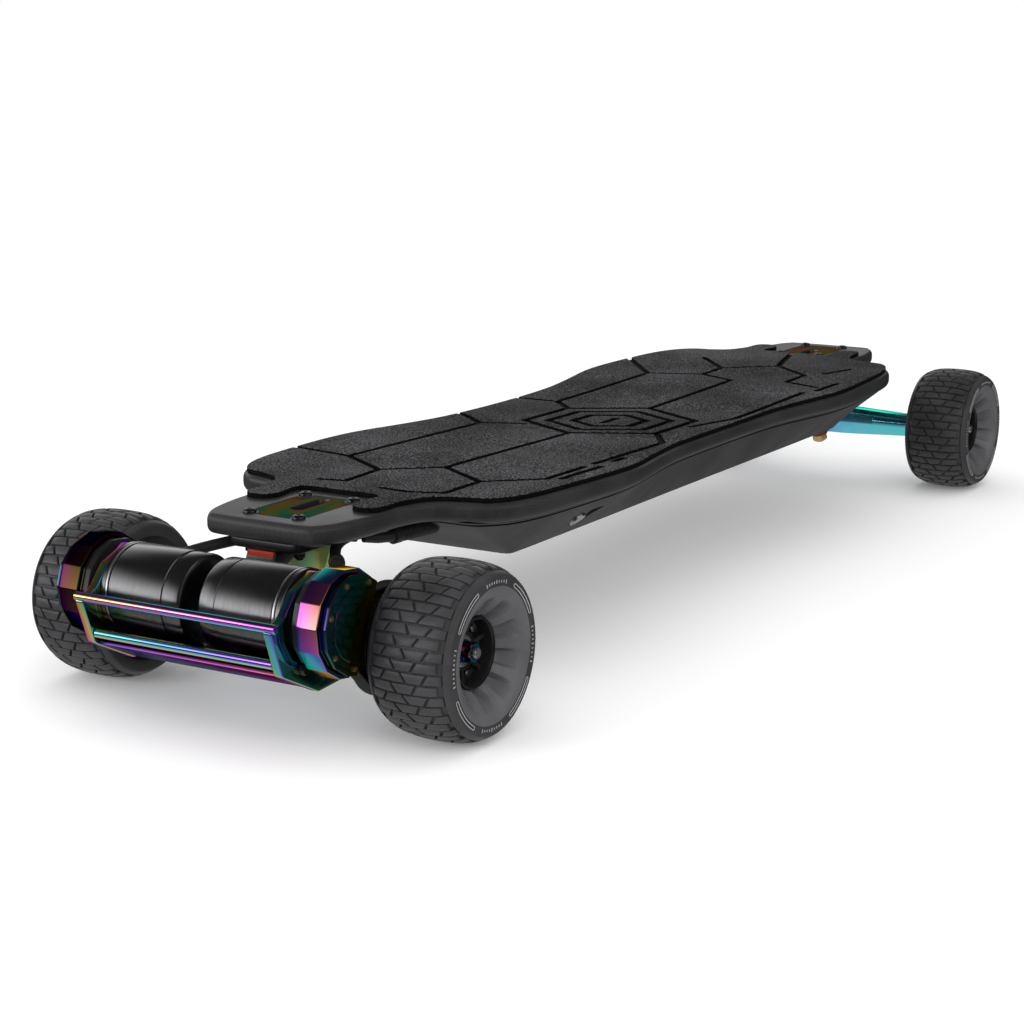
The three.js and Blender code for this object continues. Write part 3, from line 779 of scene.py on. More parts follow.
TRAY_LOW, TRAY_HIGH, TRAY_WALL = 80.0, 117.4, 3.0
TRAY_END, TRAY_FLARE = 302.0, 70.0  # half length of the floor, and how much longer the rim is at each end
FLOOR_HALF_WIDTH = 84.0
RIM_INSET = 5.0  # from the deck's edge to the enclosure's rim
BUTTON_X, BUTTON_LEVEL = -240.0, 0.46
BUTTON_RADIUS = 7.0


def tray_ring(z, depth):
    """One level section of the enclosure, drawn in from its outer wall by depth."""
    share = (z - TRAY_LOW) / (TRAY_HIGH - TRAY_LOW)
    end = TRAY_END + TRAY_FLARE * share - depth
    left = []
    for t in (1 - k / 24 for k in range(49)):
        rim = deck_half_width(t * (TRAY_END + TRAY_FLARE)) - RIM_INSET
        low = min(FLOOR_HALF_WIDTH, rim)
        left.append((t * end, low + (rim - low) * share - depth * 1.25))
    return [(x, y, z) for x, y in softened(left + [(x, -y) for x, y in left[::-1]], 7, 3)]


def wall_frame():
    """A point of the right wall at the button, with the wall's outward direction."""
    flare = deck_half_width(BUTTON_X) - RIM_INSET - FLOOR_HALF_WIDTH
    height = TRAY_HIGH - TRAY_LOW
    y = -(FLOOR_HALF_WIDTH + flare * BUTTON_LEVEL)
    return Vector((BUTTON_X, y, TRAY_LOW + height * BUTTON_LEVEL)), Vector((0, -height, -flare)).normalized()


def cut_with(target, tools, sharp=32):
    """Takes shapes out of a piece for good."""
    for tool in tools:
        mesh, work = mesh_of("tool", tool)
        work.to_mesh(mesh)
        work.free()
        cutter = linked("tool", mesh)
        modifier = target.modifiers.new("cut", "BOOLEAN")
        modifier.object = cutter
        modifier.operation = "DIFFERENCE"
        modifier.solver = "EXACT"
        bpy.context.view_layer.update()
        evaluated = target.evaluated_get(bpy.context.evaluated_depsgraph_get())
        cut_mesh = bpy.data.meshes.new_from_object(evaluated)
        target.modifiers.clear()
        target.data = cut_mesh
        bpy.data.objects.remove(cutter)
    shade(target.data, sharp)


def build_tray():
    outer = [
        (80.0, 2.6), (80.25, 1.3), (80.9, 0.45), (82.2, 0.0), (98.0, 0.0), (114.6, 0.0), (114.8, 0.9),
        (116.0, 0.9), (116.2, -0.2), (117.4, -0.2),
    ]
    inner = [(z, TRAY_WALL) for z in (TRAY_HIGH, 100.0, TRAY_LOW + TRAY_WALL)]
    shape = Shape().skin([tray_ring(z, depth) for z, depth in outer + inner])
    made = piece("battery_enclosure_shell", shape, shell_carbon_shaded, "board", ["battery_enclosure"])
    place, outward = wall_frame()
    uphill = Vector((0, outward.z, -outward.y))
    bore = Shape().lathe([(BUTTON_RADIUS + 0.6, -9), (BUTTON_RADIUS + 0.6, 4)], place, outward, 40)
    pocket = [(8.6, 8.5), (9.2, -8.0), (13.0, -7.0), (30.0, 8.0), (28.5, 10.0), (10.0, 10.5)]
    loops = []
    for depth, grow in ((-1.9, 0.97), (3.0, 1.0)):
        middle = place + outward * depth
        loops.append([middle + (Vector((a, 0, 0)) + uphill * b) * grow for a, b in pocket])
    cut_with(made, [bore, Shape().skin(loops)])


def build_button():
    place, outward = wall_frame()
    inside, face = -7.8, 1.2
    rim = [(BUTTON_RADIUS, inside), (BUTTON_RADIUS, face), (5.6, face), (5.2, 0.7)]
    profile = softened([(0.4, inside)] + rim + [(0.4, 0.7)], 0.4, 2, closed=False)
    button = Shape().lathe(profile, place, outward, 40)
    piece("power_button_cap", button, bright_steel, "button", ["power_button"])


def build_enclosure_screws():
    screws = Shape()
    profile = [(2.9, -0.9), (2.9, -0.2), (2.2, 0.9), (1.3, 1.0), (1.2, 0.1)]
    for x in (-270, -162, -54, 54, 162, 270):
        for y in (-76, 76):
            screws.lathe(profile, (x, y, TRAY_LOW - 0.1), (0, 0, -1), 24)
    piece("enclosure_screws", screws, dark_steel, "board")


# ---- trucks ----

BEAM_X = 474.0  # the hanger's beam lies just beyond the axle


def kingpin_frame(end):
    """The kingpin's crossing with the steering axis, its upward direction and the steering axis."""
    tilt_sin, tilt_cos = math.sin(STEER_TILT), math.cos(STEER_TILT)
    up = Vector((-end * tilt_sin, 0, tilt_cos))
    return Vector((end * STEER_X, 0, STEER_Z)), up, Vector((end * tilt_cos, 0, tilt_sin))


def hex_ring(centre, along, radius, count, corner=0.12):
    """A hexagon of count points with slightly rounded corners, square to an axis."""
    _, across, over = basis(along)
    ring = []
    for turn in turns(count):
        face = (turn + math.pi / 6) % (math.pi / 3) - math.pi / 6
        reach = min(radius * math.cos(math.pi / 6) / math.cos(face), radius * (1 - corner * 0.5))
        ring.append(Vector(centre) + (across * math.cos(turn) + over * math.sin(turn)) * reach)
    return ring


def hex_head(shape, centre, along, radius, low, high, bore=None, count=48):
    """A hexagon head with a socket, or a nut if it has a bore, with a turned chamfer at both ends."""
    along = Vector(along).normalized()
    inner = bore or radius * 0.35
    rim = radius * 0.84
    loops = []
    for draw, level, size in (
        (round_loop, low, inner), (round_loop, low, rim), (hex_ring, low + 0.5, radius),
        (hex_ring, high - 0.7, radius), (round_loop, high, rim), (round_loop, high, inner),
    ):
        loops.append(draw(Vector(centre) + along * level, along, size, count))
    if not bore:
        loops.append(round_loop(Vector(centre) + along * (high - 0.6), along, inner * 0.9, count))
    return shape.skin(loops, ring=bool(bore))


def build_deck_bolt(name, x, y):
    up, count = (0, 0, 1), 36
    flange, socket = 4.7, 1.9
    head = [(2.4, 0.1), (flange, 0.1), (flange, 0.9), (4.3, 1.8), (3.4, 2.45), (2.3, 2.7)]
    profile = [(2.4, 104.5)] + [(radius, DECK_HIGH + rise) for radius, rise in head]
    loops = [[(x + r * math.cos(t), y + r * math.sin(t), z) for t in turns(count)] for r, z in profile]
    loops += [hex_ring((x, y, DECK_HIGH + rise), up, socket, count) for rise in (2.65, 1.3)]
    shape = Shape().skin(loops)
    hex_head(shape, (x, y, 0), up, 4.3, 106.0, 111.0, bore=2.5, count=count)
    piece(name.replace("bolt", "screw"), shape, dark_steel, "board", [name])


def build_baseplate(name, end):
    middle, up, _ = kingpin_frame(end)
    slot = box_outline(end * 411, end * 450, -5.2, 5.2, 5.0, 6)
    pad = Shape().plate(window(end, 0.4), 116.6, DECK_HIGH - 0.2, level_place, (0.2, 0.5), [slot])
    piece(f"{name}_window_pad", pad, film_pad, "board")

    corners = [(398, -30), (484, -30), (486, -24), (486, 24), (484, 30), (398, 30)]
    outline = softened([(end * x, y) for x, y in corners], 4, 4)
    bolt_holes = [circle(x, y, 2.8, 16) for x, y in bolt_places(end)]
    casting = Shape().plate(outline, 111.4, 117.4, level_place, 0.8, bolt_holes + [slot])
    arm = [
        (468, 111.8), (466, 104), (482, 96), (488, 88), (488, 67), (499, 67), (499, 92), (489.5, 106),
        (487.5, 111.8),
    ]
    casting.plate(softened([(end * x, z) for x, z in arm], 2.5, 3), -12, 12, side_place(1), 1.4)
    piece(f"{name}_casting", casting, dark_steel, "board", [name])

    shim = Shape().plate(box_outline(end * 477, end * 489, -11, 11, 1), 107.4, 111.3, level_place, 0.4)
    piece(f"{name}_shim", shim, shim_red, "board")

    web = Shape().lathe(box_outline(9.2, 14, 22.0, 47.5, 0.8, 3), middle, up, 48, ring=True)
    across = softened([(-23, 111.3), (-18, 90), (18, 90), (23, 111.3)], 2.5, 3)
    web.plate(across, 432, 440, end_place(end), 1.0)
    # The web's brightened film is painted light.
    piece(f"{name}_web", web, web_film_painted_light, "board")


def hanger_section(low, high):
    """A beam section with a chamfered top and a keel: (x offset, z) pairs."""
    middle = low + (high - low) * 0.47
    left = [(-7.2, high), (-10, high - 3.2), (-10, middle), (-4.5, low)]
    return softened(left + [(-x, z) for x, z in left[::-1]], 0.8, 2)


def build_hanger(name, end, reach, boss_radius, boss_reach):
    body = f"{name.split('_')[0]}_truck"
    straight, taper = 26.0, 3.5
    stations = [straight, 44.0, 70.0, reach - 2, reach]
    stations = sorted({0.0, *stations, *(-y for y in stations)})
    loops = []
    for y in stations:
        share = min(max((abs(y) - straight) / (reach - straight), 0), 1)
        share = smooth_step(share, 0, 1) * 0.35 + share * 0.65
        trim = taper * share + (1.2 if abs(y) == reach else 0)
        loops.append([(end * (BEAM_X + x), y, z) for x, z in hanger_section(44 + trim, 72 - trim)])
    shape = Shape().skin(loops)
    middle, up, outward = kingpin_frame(end)
    shape.lathe(box_outline(7.6, 17, -4.5, 4.5, 1.2, 3), middle, up, 56, ring=True)
    shape.lathe([(5.5, 8), (5.5, 40), (4.6, 42.4), (2.5, 43)], middle, outward, 32)
    boss = box_outline(4.3, boss_radius, 60, boss_reach, 0.7, 3)
    for _, sign in SIDES:
        shape.lathe(boss, (end * AXLE_X, 0, AXLE_Z), (0, sign, 0), 48, ring=True)
    piece(f"{name}_beam", shape, film_hanger, body, [name])


def build_kingpin(end_name, end):
    middle, up, _ = kingpin_frame(end)
    pin = Shape().lathe([(4.8, -26.2), (4.8, 58)], middle, up, 40)
    hex_head(pin, middle, up, 8.2, 57, 62.5)
    piece(f"{end_name}_kingpin_bolt", pin, dark_steel, "board")
    nut = Shape()
    hex_head(nut, middle, -up, 8.4, 16.6, 24.4, bore=4.9)
    nut.lathe(box_outline(4.9, 9.6, 15.4, 16.5, 0.3), middle, -up, 48, ring=True)
    piece(f"{end_name}_kingpin_nut", nut, brass, "board", [f"{end_name}_kingpin"])


def build_bushes(end_name, end):
    middle, up, _ = kingpin_frame(end)
    board_side = [(5.1, 21.4), (12.2, 21.4), (12.6, 17), (10.6, 11), (9.0, 7.6), (5.1, 7.6)]
    road_side = [(5.1, 15.0), (9.8, 15.0), (10.1, 13), (9.8, 10.8), (9.0, 8.2), (5.1, 8.2)]
    for label, direction, profile in (("board", up, board_side), ("road", -up, road_side)):
        bush = Shape().lathe(softened(profile, 1.0, 3), middle, direction, 56, ring=True)
        node = f"{end_name}_{label}_bushing"
        piece(f"{end_name}_{label}_bush", bush, red_urethane, "board", [node])


def build_axle(end_name, end):
    """A rod with a chamfer and nine turns of thread at each end."""
    thread, pitch, thread_start, tip = 3.95, 1.5, 149.0, 163.0
    half = [(3.2, tip), (3.8, tip - 0.8)]
    for y in (thread_start + k * pitch for k in reversed(range(9))):
        half += [(thread - 0.35, y + pitch / 2), (thread, y)]
    profile = [(r, -y) for r, y in half] + half[::-1]
    rod = Shape().lathe(profile, (end * AXLE_X, 0, AXLE_Z), (0, 1, 0), 36)
    body = f"{end_name}_truck"
    piece(f"{end_name}_axle_rod", rod, bright_steel, body, [f"{end_name}_axle"])


def build_truck(end_name, end):
    build_baseplate(f"{end_name}_baseplate", end)
    for number, (x, y) in enumerate(bolt_places(1), 1):
        build_deck_bolt(f"{end_name}_deck_bolt_{number}", end * x, y)
    build_kingpin(end_name, end)
    build_bushes(end_name, end)
    build_axle(end_name, end)


# ---- wheels ----

TREAD_ROWS = 48
TREAD_TOP = 59.0  # radius at which the tread's joints are measured
TREAD_MIDDLE = -2.5  # the tread reaches further inward than outward from the wheel's datum
TYRE_SHOULDER = [
    (0, 60.0), (9, 59.75), (16, 59.1), (21.5, 58.0), (25.5, 56.5), (28.5, 54.8), (30.6, 53.4), (31.5, 52.2),
]
TYRE_SECTION = smooth_path(TYRE_SHOULDER, 5)
SIDEWALL = 31.5  # from the tyre's middle to its side
CARCASS_HALF, CARCASS_DROP = 27.0, 2.1  # the band under the blocks
SCALLOPS = 10
DISH_LEVEL, DISH_RISE = 13.3, 15.7
BAND_LEVEL = 28.9  # the flat band's marks start here, outward from the wheel's datum
HUB_TURN = 0.3  # of the first rib


class Wheel:
    """One wheel's place, with the names that its pieces share."""

    def __init__(self, end_name, end, side_name, sign):
        self.end, self.sign = end, sign
        self.name = f"{end_name}_{side_name}"
        self.body = f"{self.name}_wheel"
        self.truck = f"{end_name}_truck"
        self.centre = (end * AXLE_X, sign * WHEEL_Y, AXLE_Z)
        self.axis = (0, sign, 0)

    def place(self, radius, turn, out):
        """Turns (radius, turn, distance outward from the wheel's datum) into a point."""
        x, y, z = self.centre
        return (x + radius * math.cos(turn), y + self.sign * out, z + radius * math.sin(turn))


def tyre_radius(w):
    return float(np.interp(abs(w), [p[0] for p in TYRE_SECTION], [p[1] for p in TYRE_SECTION]))


def dish_depth(radius, turn):
    """The outer face between the hub and the flat band, with deep scallops between ten spokes."""
    share = (radius - TYRE_BORE) / (DISH_RIM - TYRE_BORE)
    surface = DISH_LEVEL + DISH_RISE * (1 - (1 - share) ** 1.75)
    phase = abs((turn * SCALLOPS / (2 * math.pi)) % 1 - 0.5) * 2
    wide = 1 - smooth_step(phase, 0.36, 0.66)
    radial = (1 - smooth_step(radius, 30.0, 38.5)) * smooth_step(radius, 24.6, 26.2)
    return surface - 8.5 * wide * radial


def tyre_profile():
    """(radius, distance outward) pairs from the inner side, over the band, to the outer side."""
    band = [(tyre_radius(w) - CARCASS_DROP, float(w)) for w in np.linspace(-CARCASS_HALF, CARCASS_HALF, 19)]
    side = [(tyre_radius(w), w) for w in (27.6, 28.8, 29.9, 30.8, 31.35)]
    side += [(radius, SIDEWALL) for radius in (51.9, 48.6, 45.6)]
    inner = [(radius, -w) for radius, w in reversed(side)]
    return [(radius, w + TREAD_MIDDLE) for radius, w in inner + band + side]


def build_tyre(wheel):
    round_turns = turns(240)
    loops = [[wheel.place(r, t, w) for t in round_turns] for r, w in tyre_profile()]
    for radius in np.linspace(DISH_RIM, TYRE_BORE + 0.3, 19):
        loops.append([wheel.place(radius, t, dish_depth(radius, t)) for t in round_turns])
    bore = [(TYRE_BORE, 12.0), (TYRE_BORE, -17.0), (TYRE_BORE, -18.0)]
    back = [(27, -18.6), (33, -21.2), (39, -26.4), (43, -31.2), (44.6, -33.6)]
    loops += [[wheel.place(r, t, w) for t in round_turns] for r, w in bore + back]
    shape = Shape().skin(loops, ring=True)
    node = f"{wheel.name}_tyre"
    made = piece(f"{node}_body", shape, tread_rubber, wheel.body, [node])
    made.data.materials.append(dish_urethane)
    x, _, z = wheel.centre
    for polygon in made.data.polygons:
        middle = polygon.center
        radius = math.hypot(middle.x - (x + SHIFT) * MM, middle.z - z * MM)
        if radius < (DISH_RIM + 0.6) * MM and abs(middle.y) > (WHEEL_Y + 4) * MM:
            polygon.material_index = 1


def toward(value, target, step):
    """Moves a value toward a target by no more than a step."""
    return value + math.copysign(min(step, abs(target - value)), target - value)


def tread_block(shape, wheel, corners):
    """One raised block: corners are (distance across, turn) pairs, low left to low right to high left."""
    across, up = 4, 2
    middle_w, middle_turn = (sum(corner[i] for corner in corners) / 4 for i in (0, 1))

    def spot(a, b, margin, drop):
        """The point at a share across and a share up the block, drawn in by margin and lowered by drop."""
        low = [corners[0][i] + (corners[1][i] - corners[0][i]) * a for i in (0, 1)]
        high = [corners[3][i] + (corners[2][i] - corners[3][i]) * a for i in (0, 1)]
        w = toward(low[0] + (high[0] - low[0]) * b, middle_w, margin)
        turn = toward(low[1] + (high[1] - low[1]) * b, middle_turn, margin / 58)
        return wheel.place(tyre_radius(w) - drop, turn, w + TREAD_MIDDLE)

    walls = ((0.85, 0), (0.35, 0.2), (0.0, 0.75), (0.12, 2.4))
    top = [spot(a / across, b / up, *walls[0]) for b in range(up + 1) for a in range(across + 1)]
    firsts = [b * (across + 1) + a for b in range(up) for a in range(across)]
    shape.add(top, [(i, i + 1, i + across + 2, i + across + 1) for i in firsts])
    border = [(a / across, 0) for a in range(across)] + [(1, b / up) for b in range(up)]
    border += [(1 - a, 1 - b) for a, b in border]
    count = len(border)
    foot = tuple(3 * count + i for i in reversed(range(count)))
    rings = [spot(a, b, margin, drop) for margin, drop in walls for a, b in border]
    shape.add(rings, bands(count, len(walls)) + [foot])


def build_tread(wheel):
    """Rows of staggered trapezoid blocks with slanting grooves between them."""
    shape = Shape()
    pitch = 2 * math.pi / TREAD_ROWS
    slant, gap, joint = 1.9, 0.85, 0.62 / TREAD_TOP
    for row in range(TREAD_ROWS):
        low, high = row * pitch + joint, (row + 1) * pitch - joint
        if row % 2:
            edges = [(-23.6, 0), (-7.8, 1), (7.8, -1), (23.6, 0)]
        else:
            edges = [(-26.6, 0), (-15.6, -1), (0.0, 1), (15.6, -1), (26.6, 0)]
        for (left, lean_left), (right, lean_right) in zip(edges, edges[1:]):
            left += gap if lean_left else 0
            right -= gap if lean_right else 0
            lows = [(left - lean_left * slant, low), (right - lean_right * slant, low)]
            highs = [(right + lean_right * slant, high), (left + lean_left * slant, high)]
            tread_block(shape, wheel, lows + highs)
    piece(f"{wheel.name}_tread_blocks", shape, tread_rubber, wheel.body)


def stripe(shape, wheel, path):
    """A thin raised line along a closed path of (radius, turn) pairs on the flat band."""
    half, height = 0.22, 0.22
    loops = []
    for before, here, after in zip(path[-1:] + path[:-1], path, path[1:] + path[:1]):
        radius, turn = here
        da, db = after[0] - before[0], (after[1] - before[1]) * radius
        length = math.hypot(da, db)
        nx, ny = db / length * half, -da / length * half / radius
        section = [(side, BAND_LEVEL + rise) for side, rise in ((1, 0), (1, height), (-1, height), (-1, 0))]
        loops.append([wheel.place(radius + s * nx, turn + s * ny, out) for s, out in section])
    shape.skin(loops, ring=True)


def capsule(radius, tip, middle, half):
    """A closed path of (radius, turn) pairs: two arcs round the wheel, joined by round ends."""
    bend = [math.pi * k / 6 - math.pi / 2 for k in range(1, 6)]
    path = [(-tip, half * (k / 10 - 1)) for k in range(21)]
    path += [(tip * math.sin(t), half + tip / radius * math.cos(t)) for t in bend]
    return [(radius + s * out, middle + s * turn) for s in (1, -1) for out, turn in path]


def build_wheel_marks(wheel):
    """Thin printed outlines on the flat band, with short tally lines between them."""
    shape = Shape()
    radius, tip, tally = 48.6, 1.2, 0.003
    for quarter in range(4):
        stripe(shape, wheel, capsule(radius, tip, math.radians(41 + 90 * quarter), math.radians(17)))
        for k in range(9):
            turn = math.radians(90 * quarter - 18 + 3.5 * k)
            left, right = turn - tally, turn + tally
            reach = tip - 0.5 if k % 4 else tip
            low, high = radius - reach, radius + reach
            stripe(shape, wheel, [(low, left), (high, left), (high, right), (low, right)])
    piece(f"{wheel.name}_wheel_marks", shape, white_print, wheel.body)


def build_hub(wheel):
    outside, floor, boss = 24.0, 3.0, 12.6
    cup = [
        (HUB_BORE, -18), (outside, -18), (outside, 14.2), (23.4, 14.9), (22.4, 14.9), (21.8, 14.2),
        (21.5, 12.8), (21.2, 4.5), (19.6, floor), (boss, floor), (boss, 6.6), (HUB_BORE, 6.6),
    ]
    shape = Shape().lathe(cup, wheel.centre, wheel.axis, 96, ring=True)
    rib = ((12, -1.3, 0), (12, 1.3, 0), (21.6, 1.6, 2.4), (21.6, -1.6, 2.4))
    for turn in turns(6):
        loops = []
        for level in (floor - 0.5, 6.2):
            loops.append([wheel.place(r, turn + HUB_TURN + side / r, level + rise) for r, side, rise in rib])
        shape.skin(loops)
    node = f"{wheel.name}_wheel_core"
    piece(f"{wheel.name}_hub_cup", shape, hub_plastic, wheel.body, [node])
    rim = Shape().lathe(box_outline(22.5, 23.6, 14.8, 15.3, 0.2), wheel.centre, wheel.axis, 96, ring=True)
    piece(f"{wheel.name}_hub_trim", rim, dark_steel, wheel.body)


def build_hub_screws(wheel):
    screws = Shape()
    head = ((2.6, 2.6), (2.6, 5.4), (2.2, 6.0), (1.4, 6.1), (1.2, 4.8))
    for turn in turns(6):
        x, y, z = wheel.place(17.0, turn + HUB_TURN + math.pi / 6, 0)
        loops = []
        for r, out in head:
            y_out = y + wheel.sign * out
            loops.append([(x + r * math.cos(t), y_out, z + r * math.sin(t)) for t in turns(24)])
        screws.skin(loops)
    piece(f"{wheel.name}_hub_screws", screws, bright_steel, wheel.body)


def build_bearings(wheel):
    profile = [
        (4.4, -17.6), (11, -17.6), (11, 6.2), (10.2, 6.6), (9.4, 6.6), (9.2, 6.2), (6.4, 6.2), (6.2, 6.6),
        (4.4, 6.6),
    ]
    ring = Shape().lathe(profile, wheel.centre, wheel.axis, 64, ring=True)
    node = f"{wheel.name}_wheel_bearings"
    piece(f"{wheel.name}_bearing_set", ring, bright_steel, wheel.body, [node])
    nut = Shape()
    hex_head(nut, wheel.centre, wheel.axis, 7.5, 7.4, 14.3, bore=4.05)
    nut.lathe(box_outline(4.1, 7.8, 6.75, 7.35, 0.15, 1), wheel.centre, wheel.axis, 40, ring=True)
    node = f"{wheel.name}_axle_nut"
    piece(f"{wheel.name}_lock_nut", nut, film_nut, wheel.truck, [node])


# ---- motors, belt drive and guard ----

MOTOR_CENTRE = (MOTOR_X, 0, MOTOR_Z)
REAR_AXLE = (-AXLE_X, 0, AXLE_Z)
SPAN = math.hypot(BACK, UP)
MOUNT_BOLTS = ((-17, -29), (14, -36))  # of the motor, measured from its axis
UPPER_ROD, LOWER_ROD = (-44.8, 3.2), (-36.5, -23.0)  # the guard's rods, measured from the motors' axis
GUARD_REACH = 73.7  # half length of the guard's strip and brace
BIG_RADIUS, SMALL_RADIUS = 36.5, 12.5  # working radii of the two pulleys
BIG_TEETH, SMALL_TEETH = 46, 16
GEAR_LOW, GEAR_HIGH = 88.0, 100.4  # a pulley's teeth, from the centre line


def from_motor(points):
    return [(MOTOR_X + u, MOTOR_Z + v) for u, v in points]


def housing_outline(radius, half_width, reach, soft=0.0):
    """Flat facets round the motor, then straight sides to a square cut."""
    facets = [math.radians(6 + facet * 360 / 14) for facet in range(-3, 5)]
    points = [(-radius * math.cos(turn), radius * math.sin(turn)) for turn in facets]
    ex, ez = BACK / SPAN, -UP / SPAN
    for half in (half_width, -half_width):
        points.append((ex * reach - ez * half, ez * reach + ex * half))
    return softened(from_motor(points), soft, 2) if soft else from_motor(points)


def build_motor(side_name, sign):
    axis = (0, sign, 0)
    r, shaft, bell = MOTOR_RADIUS, 4.0, 28.6
    can = [
        (shaft, 7.2), (26.5, 7.2), (28.5, 7.4), (30.2, 8.2), (31.0, 9.6), (31.0, 20.6), (30.6, 21.0),
        (30.6, 22.4), (31.4, 22.8), (r, 23.6), (r, 66.2), (31.2, 67.2), (bell, 67.5), (bell, 11.0),
        (shaft, 11.0),
    ]
    shape = Shape().lathe(can, MOTOR_CENTRE, axis, 128, ring=True)
    shape.lathe([(shaft, 7.6), (shaft, 104)], MOTOR_CENTRE, axis, 32)
    rotor = f"{side_name}_rotor"
    piece(f"{side_name}_motor_shell", shape, anodised, rotor, [f"{side_name}_motor_can"])
    stator = [
        (4.5, 13), (27.8, 13), (27.8, 62), (14, 62), (14, 69.8), (30.6, 69.8), (r, 70.4), (r, 73.2),
        (31.0, 73.7), (4.5, 73.7),
    ]
    core = Shape().lathe(stator, MOTOR_CENTRE, axis, 128, ring=True)
    node = f"{side_name}_motor_stator"
    piece(f"{side_name}_motor_base", core, anodised, "rear_truck", [node])
    trim = Shape().lathe(box_outline(28.0, 31.7, 67.9, 69.5, 0.3), MOTOR_CENTRE, axis, 128, ring=True)
    piece(f"{side_name}_motor_trim_ring", trim, bright_steel, "rear_truck")


def build_mount(side_name, sign):
    clamp = [math.radians(angle) for angle in range(-90, 91, 12)]
    clamp = [(BACK + 17 * math.cos(turn), -UP + 17 * math.sin(turn)) for turn in clamp]
    edge = [(-48.5, 1.3), (-37.7, -30.2), (0, -49.1), (32, -47)]
    edge += clamp + [(22, 24), (0, 31), (-22, 22), (-34, 8)]
    holes = [circle(MOTOR_X, MOTOR_Z, 12, 48), circle(-AXLE_X, AXLE_Z, 10.8, 48)]
    holes += [circle(a, b, 3, 16) for a, b in from_motor(MOUNT_BOLTS)]
    outline = softened(from_motor(edge), 2.0, 3)
    shape = Shape().plate(outline, MOUNT_IN, MOUNT_OUT, side_place(sign), 0.7, holes)
    node = f"{side_name}_motor_mount"
    piece(f"{side_name}_motor_bracket", shape, film_mount, "rear_truck", [node])
    bolts = Shape()
    for x, z in from_motor(MOUNT_BOLTS + ((50, -UP - 21), (78, -18))):
        hex_head(bolts, (x, 0, z), (0, sign, 0), 4.4, MOUNT_OUT + 0.1, MOUNT_OUT + 3.7)
    piece(f"{side_name}_bracket_bolts", bolts, dark_steel, "rear_truck")


def build_case(side_name, sign):
    place = side_place(sign)
    back = Shape().plate(housing_outline(32.6, 30.6, 13.3, 0.6), CASE_IN, CASE_LIP + 0.2, place, (0.8, 0.2))
    back.lathe([(27, MOUNT_OUT + 0.2), (27, CASE_IN + 0.5)], MOTOR_CENTRE, (0, sign, 0), 96)
    piece(f"{side_name}_belt_case_back", back, hub_plastic, "rear_truck", sharp=20)
    opening = [housing_outline(31.5, 29.5, 10.5)]
    wall = Shape().plate(housing_outline(36, 33, 13.5, 0.7), CASE_LIP - 0.2, CASE_OUT, place, 0.8, opening)
    wall.plate(housing_outline(33.6, 31.2, 13.3, 0.5), CASE_LIP - 1.8, CASE_LIP, place, (0.5, 0.1), opening)
    # The left case's film is a darker copy of the right one's: painted shade on that side.
    film = film_housing if sign < 0 else left_housing_film_shaded
    node = f"{side_name}_belt_housing"
    piece(f"{side_name}_belt_case", wall, film, "rear_truck", [node], sharp=20)


def build_case_cover(side_name, sign):
    place = side_place(sign)
    seat, rim, face = CASE_OUT + 3.0, CASE_OUT + 5.0, CASE_OUT + 5.6
    cover = Shape().plate(housing_outline(31.2, 29.2, 13.2, 0.6), CASE_OUT - 1.5, seat + 0.2, place, 0.4)
    cover.plate(housing_outline(33.0, 31.0, 13.3, 0.8), seat, rim, place, 0.6)
    cover.plate(housing_outline(24.5, 22.0, 7.0, 1.2), rim - 0.2, face, place, 0.4)
    node = f"{side_name}_belt_cover"
    piece(f"{side_name}_belt_case_cover", cover, film_cover, "rear_truck", [node], sharp=20)
    screws = Shape()
    for turn in map(math.radians, (20, 70, 120, -35, -85)):
        spot = (MOTOR_X - 28.6 * math.cos(turn), 0, MOTOR_Z + 28.6 * math.sin(turn))
        hex_head(screws, spot, (0, sign, 0), 2.2, rim - 0.1, rim + 0.9, count=24)
    piece(f"{side_name}_cover_screws", screws, brass, "rear_truck")


def belt_path(offset):
    """The loop round both pulleys at a distance outside their working surface."""
    big, small = BIG_RADIUS + offset, SMALL_RADIUS + offset
    heading = math.atan2(-UP, BACK)
    half = math.pi / 2 + math.asin((big - small) / SPAN)
    loop = []
    for u, v, radius, start, sweep, steps in (
        (BACK, -UP, big, heading - half, 2 * half, 72),
        (0, 0, small, heading + half, 2 * math.pi - 2 * half, 28),
    ):
        arc = [start + sweep * k / steps for k in range(steps + 1)]
        loop += [(u + radius * math.cos(t), v + radius * math.sin(t)) for t in arc]
    return from_motor(loop)


def toothed(centre, radius, depth, teeth):
    """A pulley outline with rounded teeth."""
    x, _, z = centre
    points = []
    for turn in turns(teeth * 8):
        r = radius - depth * smooth_step(math.cos(turn * teeth), 0.1, 0.7)
        points.append((x + r * math.cos(turn), z + r * math.sin(turn)))
    return points


def pulley(centre, sign, teeth, bore, flange, end, segments, soft):
    """A toothed ring between two flanges, of which the outer one ends at the level end."""
    hole = circle(centre[0], centre[2], bore, segments[0])
    shape = Shape().plate(toothed(centre, *teeth), GEAR_LOW, GEAR_HIGH, side_place(sign), 0.2, [hole])
    for low, high in ((GEAR_LOW - 1.1, GEAR_LOW + 0.1), (GEAR_HIGH - 0.3, end)):
        shape.lathe(box_outline(bore, flange, low, high, soft), centre, (0, sign, 0), segments[1], ring=True)
    return shape


